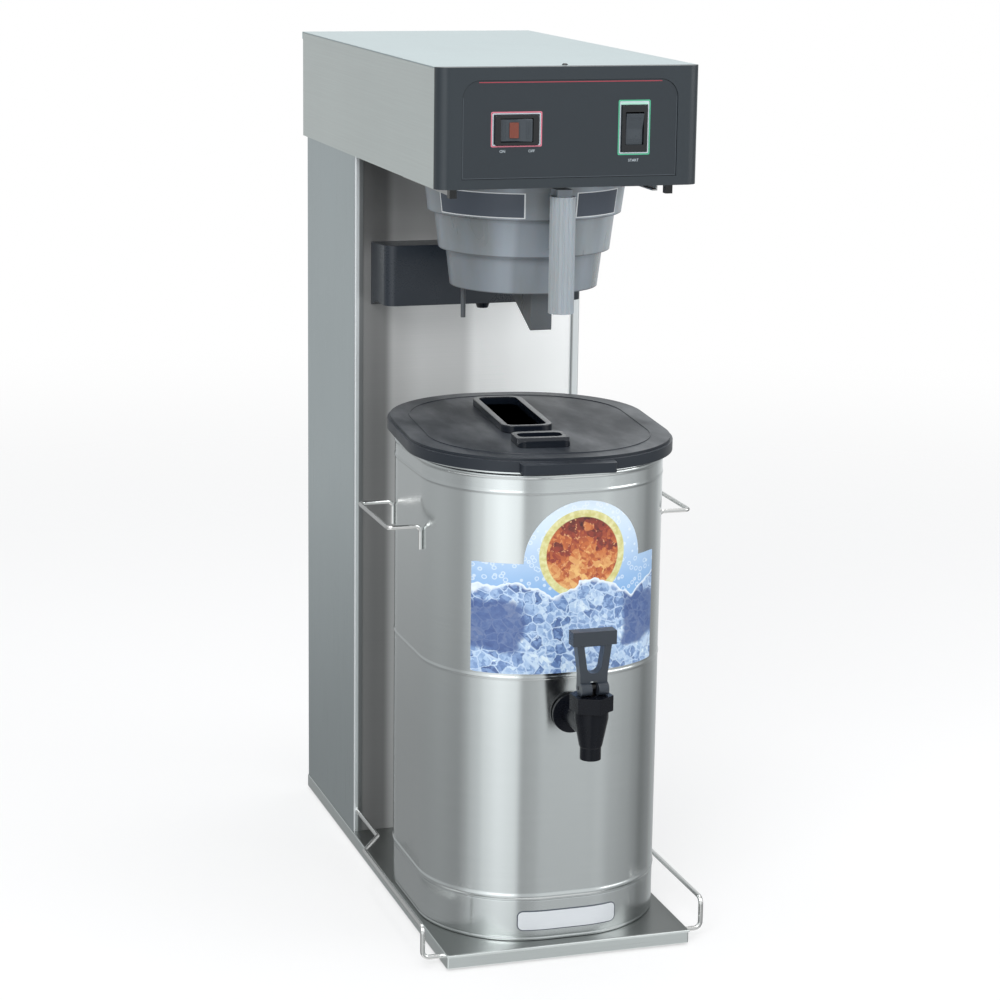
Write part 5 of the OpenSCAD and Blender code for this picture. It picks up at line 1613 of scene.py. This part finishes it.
@dataclass
class Controls:
    """Front fascia with its overlay, printed lines, switches and lettering."""

    shop: Workshop
    front: float = 540.0
    wall: float = 3.0
    corner: float = 12.9
    film: float = 539.2
    film_back: float = 538.65
    film_corner: float = 18.0
    ink: float = 0.09
    bezel_front: float = 541.2
    pivot: float = 534.7
    power: Switch = Switch("power", (-55.0, 835.0), (44.0, 29.0), (32.8, 22.8), (37.2, 27.2),
                           (51.5, 33.7), "print_pink", 32.0, 22.0, -8.0)
    start: Switch = Switch("start", (65.0, 835.0), (26.0, 45.0), (18.8, 31.8), (23.2, 36.2),
                           (33.0, 53.2), "print_green", 31.0, 18.0, 8.0, True)
    lens: tuple[float, float] = (9.0, 15.0)
    overlay_w: float = 219.0
    overlay_low: float = 788.5
    overlay_high: float = 882.5

    def build(self) -> None:
        """Builds every piece of the control panel."""
        self.fascia()
        self.overlay()
        self.prints()
        self.switches()
        self.letters()

    def holes(self) -> list[Shape]:
        """Gives the cutters that open a sheet for both switches."""
        return [switch.block(switch.hole, 560.0, 520.0) for switch in (self.power, self.start)]

    def fascia(self) -> None:
        """Makes the moulded fascia with its rounded ends and recessed field."""
        at, w, wall, gap = LAY.at, LAY.hood_w / 2, self.wall, 0.2
        shell = Shape().round_block(at(-w, self.front, LAY.hood_z),
                                    at(w, LAY.hood_len + 0.05, LAY.top_z),
                                    (self.corner, self.corner, 0, 0), 2, 0.0, 12)
        shell.soften(1.8, 4, 60)
        inner = Shape().round_block(at(-w + wall, self.front - wall, LAY.hood_z + wall),
                                    at(w - wall, 515, LAY.top_z - wall),
                                    (self.corner - wall, self.corner - wall, 0, 0), 2, 0.0, 8)
        field_cut = Shape().round_block(
            at(-self.overlay_w / 2 - gap, 550, self.overlay_low - gap),
            at(self.overlay_w / 2 + gap, self.film_back - 0.05, self.overlay_high + gap),
            (0, 0, self.film_corner + gap, self.film_corner + gap), 1, 0.0, 14)
        shell.carve(inner, field_cut, *self.holes())
        self.shop.piece("fascia_shell", shell, "fascia_black", "machine", ("control_fascia",),
                        sharp=28)

    def overlay(self) -> None:
        """Lays the satin film into the fascia's field."""
        film = Shape().round_block(LAY.at(-self.overlay_w / 2, self.film, self.overlay_low),
                                   LAY.at(self.overlay_w / 2, self.film_back,
                                          self.overlay_high),
                                   (0.5, 0.5, self.film_corner, self.film_corner), 1, 0.15, 14, 1)
        film.carve(*self.holes())
        self.shop.piece("panel_film", film, "overlay_black", "machine", ("fascia_overlay",))

    def frame_line(self, place: tuple[float, float], wide: float, high: float, line: float,
                   radius: float, low_radius: float | None = None) -> Shape:
        """Gives a printed rectangular outline.

        Args:
            place: Its middle.
            wide: Its width over all.
            high: Its height over all.
            line: The line's width.
            radius: Radius of its outer corners.
            low_radius: Radius of the two lower corners, or None for the same.

        Returns:
            The outline's shape.
        """
        x, z = place
        low = radius if low_radius is None else low_radius
        radii = (low, low, radius, radius)
        outer = Shape().round_block(LAY.at(x - wide / 2, self.film + self.ink, z - high / 2),
                                    LAY.at(x + wide / 2, self.film - 0.1, z + high / 2),
                                    radii, 1, 0.0, 10)
        inner = Shape().round_block(
            LAY.at(x - wide / 2 + line, self.film + 2, z - high / 2 + line),
            LAY.at(x + wide / 2 - line, self.film - 2, z + high / 2 - line),
            tuple(max(r - line, 0.3) for r in radii), 1, 0.0, 10)
        return outer.carve(inner)

    def prints(self) -> None:
        """Prints the red line and the coloured frames round both switches."""
        rule = Shape().block(LAY.at(-93, self.film + self.ink, 880.2),
                             LAY.at(93, self.film - 0.1, 881.1))
        self.shop.piece("print_rule", rule, "print_red", "machine", slot="overlay_plastic")
        for switch in (self.power, self.start):
            (x, z), (wide, high) = switch.place, switch.frame
            edge = self.frame_line((x, z + 0.9), wide, high, 1.2, 1.6)
            self.shop.piece(f"print_{switch.name}_edge", edge, switch.frame_colour, "machine",
                            slot="overlay_plastic")
            edge = self.frame_line((x, z + 0.9), wide - 2.8, high - 2.8, 1.1, 1.0)
            self.shop.piece(f"print_{switch.name}_line", edge, "print_pale", "machine",
                            slot="overlay_plastic")
        x, z = self.start.place
        band = Shape().block(LAY.at(x - 14.6, self.film + 0.08, z + 22.9),
                             LAY.at(x + 14.6, self.film - 0.1, z + 26.2))
        self.shop.piece("print_start_band", band, "print_mint", "machine", slot="overlay_plastic")
        border = self.frame_line((0.0, 835.5), self.overlay_w - 1.2, 92.8, 0.45, 17.4, 0.6)
        border.carve(Shape().block(LAY.at(-130, 560, 866), LAY.at(130, 520, 900)))
        self.shop.piece("print_border", border, "print_border", "machine", slot="overlay_plastic")

    def rocker(self, switch: Switch) -> None:
        """Makes a rocker key with its dished face and ribs.

        Args:
            switch: The key's switch.
        """
        long, wide = switch.key_long, switch.key_wide
        key = Shape().prism([(-long / 2, -7.0), (0, -5.0), (long / 2, -7.0), (long / 2 - 1.5, 4.5),
                             (-long / 2 + 1.5, 4.5)], -wide / 2, wide / 2, 2, 0.9, 3)
        key.rod((0, 0, -wide / 2 - 1.6), (0, 0, wide / 2 + 1.6), 1.5, 0.2, 24)
        for side in (-1, 1):
            for k in range(3):
                along = side * (long / 2 - 2.6 - 1.6 * k)
                face = -5.0 - 2.0 * abs(along) / (long / 2)
                key.block((along - 0.35, face - 0.22, -wide / 2 + 2.4),
                          (along + 0.35, face + 0.5, wide / 2 - 2.4), 0.15, 1)
        key.turn(switch.tilt, (0, 0, 0), "Z")
        if switch.upright:
            key.turn(90, (0, 0, 0), "Y")
        key.moved(self.on_pivot(switch))
        self.shop.piece(f"{switch.name}_key_cap", key, "key_slate", f"{switch.name}_key",
                        (f"{switch.name}_rocker",))

    def on_pivot(self, switch: Switch) -> Vector:
        """Gives the middle of a switch's pivot."""
        return LAY.at(switch.place[0], self.pivot, switch.place[1])

    def switches(self) -> None:
        """Makes both switch housings, their keys and the orange lens."""
        for switch in (self.power, self.start):
            low, high = switch.span(switch.bezel, self.bezel_front, self.film + 0.02)
            bezel = Shape().round_block(low, high, (1.6,) * 4, 1, 0.0, 4)
            bezel.soften(0.7, 3, 60)
            tub = (switch.well[0] + 3.6, switch.well[1] + 3.6)
            bezel.join(switch.block(tub, self.film + 0.1, 524.0, 0.4))
            bezel.carve(switch.block(switch.well, 560.0, 525.8))
            self.shop.piece(f"{switch.name}_bezel", bezel, "switch_black", "machine",
                            (f"{switch.name}_switch",))
        self.rocker(self.power)
        self.rocker(self.start)
        wide, high = self.lens
        lens = Shape().block((-wide / 2 - 2, -7.1, -high / 2), (wide / 2 - 2, -4.0, high / 2),
                             0.5, 2)
        lens.turn(self.power.tilt, (0, 0, 0), "Z").moved(self.on_pivot(self.power))
        self.shop.piece("signal_lens", lens, "orange_lens", "power_key", ("power_lens",))

    def letters(self) -> None:
        """Sets the small generic words under the switches."""
        for name, words, x, z in (("on", "ON", -69.0, 814.8), ("off", "OFF", -39.5, 814.8),
                                  ("start", "START", 65.0, 804.0)):
            curve = bpy.data.curves.new(f"word_{name}", "FONT")
            curve.body = words
            curve.size, curve.extrude = 3.7, 0.05
            curve.align_x, curve.align_y = "CENTER", "CENTER"
            word = Shape().traced(curve).turn(90, (0, 0, 0), "X")
            word.moved(LAY.at(x, self.film + 0.06, z))
            self.shop.piece(f"word_{name}", word, "print_pale", "machine",
                            slot="overlay_plastic", outward=False)


# ---------------------------------------------------------------- funnel


@dataclass
class BrewFunnel:
    """Brew funnel with its stepped bowl, flange, fluted handle and chute."""

    shop: Workshop
    tier_low: float = 741.0
    tier_high: float = 775.0
    low_r: float = 98.5
    high_r: float = 103.0
    handle_face: float = 506.5
    stickers: Profile = ((-74.5, -17.5), (12.5, 47.5))
    sticker_z: tuple[float, float] = (743.4, 768.8)

    def build(self) -> None:
        """Builds the funnel and its two blank stickers."""
        # The bowl carries the painted shade and painted highlight bands of its finish.
        bowl = self.shop.smoothed("brew_funnel", "smoke_plastic", "funnel", 0.7, sharp=40)
        # The handle's faces get the lighter copy: painted highlight.
        self.shop.repaint(bowl, "smoke_handle_painted_highlight", lambda middle, normal:
                          middle.y < LAY.rear - self.handle_face and middle.z < 769)
        bottom, top = self.sticker_z
        for name, (low, high) in zip(("left", "right"), self.stickers):
            self.sticker(f"{name}_sticker", low, high, bottom, top, 0.12, "print_white")
            self.sticker(f"{name}_sticker_field", low + 0.8, high - 0.8, bottom + 1.0,
                         top - 1.0, 0.18, "print_slate")

    def sticker(self, name: str, low: float, high: float, bottom: float, top: float,
                out: float, finish: str) -> None:
        """Lays a blank sticker round part of the upper tier.

        Args:
            name: The piece's name.
            low: Angle where it starts, from the front towards +X.
            high: Angle where it ends.
            bottom: Height of its lower edge.
            top: Height of its upper edge.
            out: How far it stands off the wall.
            finish: The name of its finish.
        """
        slope = (self.high_r - self.low_r) / (self.tier_high - self.tier_low)
        film = Shape()
        verts = [film.bm.verts.new(LAY.at(
            0, LAY.funnel_at + self.low_r + (z - self.tier_low) * slope + out, z))
                 for z in (bottom, top)]
        edge = film.bm.edges.new(verts)
        middle = LAY.at(0, LAY.funnel_at, 0)
        bmesh.ops.rotate(film.bm, cent=middle, verts=verts,
                         matrix=Matrix.Rotation(math.radians(low), 3, "Z"))
        bmesh.ops.spin(film.bm, geom=[*verts, edge], cent=middle, axis=(0, 0, 1),
                       angle=math.radians(high - low), steps=24)
        film.thick(-0.1)
        self.shop.piece(name, film, finish, "funnel", slot="smoke_plastic")


# ---------------------------------------------------------------- dispenser


@dataclass
class Dispenser:
    """Oval tank with its skirt, beads, handles, plate and decal."""

    shop: Workshop
    form: Oval = Oval(126.0, 149.0, 108.0, 0.0, LAY.rear - LAY.dispenser_at)
    wall: float = 1.0
    low: float = 60.2
    tap_hole_r: float = 11.3
    skirt_wall: float = 0.9
    handle_r: float = 2.2
    handle_gap: float = 2.3
    handle_out: float = 162.0
    handle_depths: tuple[float, float] = (359.0, 471.0)
    handle_z: tuple[float, float] = (409.3, 433.0)
    plate_x: tuple[float, float] = (-51.0, 55.0)
    plate_z: tuple[float, float] = (28.2, 49.2)
    plate_rim: float = 0.9
    plate_r: float = 6.0
    band_w: float = 210.0
    band_z: tuple[float, float] = (299.5, 412.5)
    crest_x: float = 12.0
    crest_r: float = 62.0

    def build(self) -> None:
        """Builds every piece of the dispenser but the lid and the tap."""
        self.shell()
        self.skirt()
        self.handles()
        self.plate()
        self.decal()

    @staticmethod
    def bead(z: float, out: float, high: float) -> list[tuple[float, float]]:
        """Gives the profile of a rolled bead round the wall.

        Args:
            z: Height of its middle.
            out: How far it stands out.
            high: Its height.

        Returns:
            The profile's points in order.
        """
        return [(0.0, z - high * 0.9), (0.0, z - high * 0.62), (out * 0.3, z - high * 0.46),
                (out * 0.85, z - high * 0.26), (out, z), (out * 0.85, z + high * 0.26),
                (out * 0.3, z + high * 0.46), (0.0, z + high * 0.62), (0.0, z + high * 0.9)]

    def shell(self) -> None:
        """Rolls the tank wall with its beads and turned-over rim."""
        profile, top = [(0.0, self.low)], LAY.tank_top
        for z, out, high in ((64.6, 0.85, 4.6), (295.0, 0.55, 3.4), (484.0, 0.55, 3.4),
                             (500.5, 1.1, 4.4)):
            profile += self.bead(z, out, high)
        profile += [(0.0, top - 1.9), (0.1, top - 0.9), (0.0, top - 0.2), (-0.5, top)]
        outer = Shape().oval(self.form, profile).thick(self.wall)
        outer.carve(Shape().rod(LAY.at(0, 560, LAY.tap_z), LAY.at(0, 590, LAY.tap_z),
                                self.tap_hole_r, steps=48))
        tank = self.shop.piece("tank_wall", outer, "steel_tank", "dispenser",
                               ("dispenser_shell",), sharp=40)
        axis = Vector((self.form.cx, self.form.cy, 0))
        # The inner face gets the finish that glows a little: painted light.
        self.shop.repaint(tank, "tank_inside_painted_glow", lambda middle, normal:
                          normal.xy.dot((middle - axis).xy) < -0.2)
        self.shop.smoothed("tank_floor", "steel_inner", "dispenser")

    def skirt(self) -> None:
        """Rolls the foot skirt with its shadow line and inner ring."""
        profile = [(-12.0, 18.2), (-12.0, 17.2), (-0.8, 17.2), (-0.15, 17.5), (0.0, 18.2),
                   (0.0, 19.4), (-0.35, 20.2), (-0.35, 21.4), (0.0, 22.2), (0.0, 59.0),
                   (-0.2, 59.8), (-0.9, 60.1)]
        skirt = Shape().oval(self.form, profile).thick(self.skirt_wall)
        ring = Oval(124.9, 147.9, 106.9, 0.0, self.form.cy)
        skirt.merge(Shape().oval(ring, [(0, 50.3), (0, 72.1)]).thick(self.skirt_wall).bm)
        self.shop.piece("foot_skirt", skirt, "steel_tank", "dispenser", ("dispenser_skirt",),
                        sharp=40)

    def handles(self) -> None:
        """Bends both wire handles, whose feet lie on the curved wall."""
        (rear, front), (foot, grip) = self.handle_depths, self.handle_z
        near, far = self.form.a + self.handle_gap, self.handle_out
        line = [(near, rear, foot), (near, rear, grip), (far, rear, grip), (far, front, grip),
                (near, front, grip), (near, front, foot)]
        for side, s in (("left", -1), ("right", 1)):
            route = [self.hug(LAY.at(s * x, depth, z), s) if x == near
                     else LAY.at(s * x, depth, z) for x, depth, z in line]
            self.shop.wire(f"{side}_bail_wire", route, self.handle_r, 5.4, "bright_wire",
                           "dispenser", (f"{side}_handle",))

    def hug(self, point: Vector, s: int) -> Vector:
        """Moves a handle's foot so that it lies on the curved wall.

        Args:
            point: The foot.
            s: 1 for the right side, -1 for the left.

        Returns:
            The moved foot.
        """
        y = point.y - self.form.cy
        core = max(-self.form.b + self.form.r, min(self.form.b - self.form.r, y))
        out = self.form.r + self.handle_gap
        x = self.form.a - self.form.r + math.sqrt(max(out ** 2 - (y - core) ** 2, 0.0))
        return Vector((s * x, point.y, point.z))

    def film(self, cutter: Shape, low: float, high: float, inner: float,
             outer: float) -> Shape:
        """Gives a film that follows the wall within a cutter's outline.

        Args:
            cutter: A shape that reaches through the front wall.
            low: The film's lowest height.
            high: Its highest.
            inner: Its back's distance from the wall.
            outer: Its face's distance from the wall.

        Returns:
            The film's shape.
        """
        ring = Shape().oval(self.form, [(outer, low), (outer, high)])
        return ring.thick(outer - inner).carve(cutter, how=Cut.WITHIN)

    def plate(self) -> None:
        """Makes the blank nameplate: a thin dark rim round a pale field."""
        rim = self.film(self.plate_cut(0.0), 26, 52, 0.06, 0.72)
        self.shop.piece("plate_rim", rim, "print_slate", "dispenser", ("nameplate",))
        face = self.film(self.plate_cut(self.plate_rim), 26, 52, 0.66, 0.8)
        self.shop.piece("plate_face", face, "steel_plate", "dispenser", slot="stainless_sheet")

    def plate_cut(self, rim: float) -> Shape:
        """Gives the nameplate's outline as a cutter through the front wall.

        Args:
            rim: How far it lies inside the plate's edge.

        Returns:
            The cutter.
        """
        (left, right), (low, high) = self.plate_x, self.plate_z
        return Shape().round_block(LAY.at(left + rim, 600, low + rim),
                                   LAY.at(right - rim, 540, high - rim),
                                   (self.plate_r - rim,) * 4, 1, 0.0, 8)

    def decal(self) -> None:
        """Lays the printed film on the front, under and round the tap."""
        at, (low, high) = LAY.at, self.band_z
        cut = Shape().round_block(at(-self.band_w / 2, 600, low), at(self.band_w / 2, 540, high),
                                  (14,) * 4, 1, 0.0, 12)
        cut.join(Shape().rod(at(self.crest_x, 600.0, high), at(self.crest_x, 540.0, high),
                             self.crest_r, steps=72))
        film = self.film(cut, 297, 478, 0.06, 0.4)
        self.shop.piece("decal_film", film, "printed_film", "dispenser", ("front_decal",))


@dataclass
class Lid:
    """Loose lid with its raised ring, tab, filling collar and finger grip."""

    shop: Workshop

    def build(self) -> None:
        """Builds the lid."""
        lid = self.shop.smoothed("dispenser_lid", "lid_slate", "lid", 1.6, sharp=40)
        self.shop.repaint(lid, "lid_edge", lambda middle, normal: abs(normal.z) < 0.6)
        self.shop.smoothed("lid_collar", "gloss_black", "lid", 1.2, sharp=40)
        self.shop.smoothed("lid_grip", "gloss_black", "lid", 1.0, sharp=40)


@dataclass
class Tap:
    """Lever tap on the dispenser's front."""

    shop: Workshop

    def build(self) -> None:
        """Builds the tap's pieces."""
        self.shop.smoothed("tap_body", "tap_black", "dispenser", 0.6, sharp=40)
        self.shop.smoothed("tap_bonnet", "tap_black", "dispenser", 1.0)
        # The lever gets the lighter copy: painted highlight.
        self.shop.smoothed("tap_handle", "lever_black_painted_highlight", "tap_lever", 1.0, sharp=40)
        self.shop.smoothed("tap_nut", "gloss_black", "dispenser", 0.5)
        self.shop.dress("rubber_black", "tap_seal")
        self.shop.dress("dull_pin", "tap_stem", "tap_pin")
        self.shop.dress("silicone", "tap_seat_cup")


@dataclass
class WaterSystem:
    """Hidden works in the column and hood, dressed as they are."""

    shop: Workshop

    def build(self) -> None:
        """Gives each inner CAD node its finish."""
        dress = self.shop.dress
        dress("steel_inner", "hot_water_tank", "tank_lid", "tank_shelf", "valve_bracket",
              "temperature_probe", "heating_element")
        dress("rubber_red", "tank_gasket")
        dress("switch_black", "overheat_thermostat")
        dress("brass", "inlet_fitting", "inlet_manifold")
        dress("valve_blue", "brew_valve", "dilution_valve")
        dress("silicone", "fill_tube", "dilution_tube", "spray_tube")
        dress("board_green", "control_board")
        dress("nylon_white", "board_posts", "terminal_block")
        self.shop.smoothed("cord_gland", "rubber_black", "machine", 0.6)


def main() -> None:
    """Builds the studio and the whole machine."""
    logging.basicConfig(level=logging.INFO, format="%(name)s: %(message)s")
    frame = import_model()
    Studio().build()
    shop = Workshop(frame, Finishes())
    for group in (Column(shop), Hood(shop), Controls(shop), BrewFunnel(shop), Dispenser(shop),
                  Lid(shop), Tap(shop), WaterSystem(shop)):
        group.build()
        LOG.info("%s done", type(group).__name__)
    LOG.info("%d new pieces", shop.count)


if __name__ == "__main__":
    main()
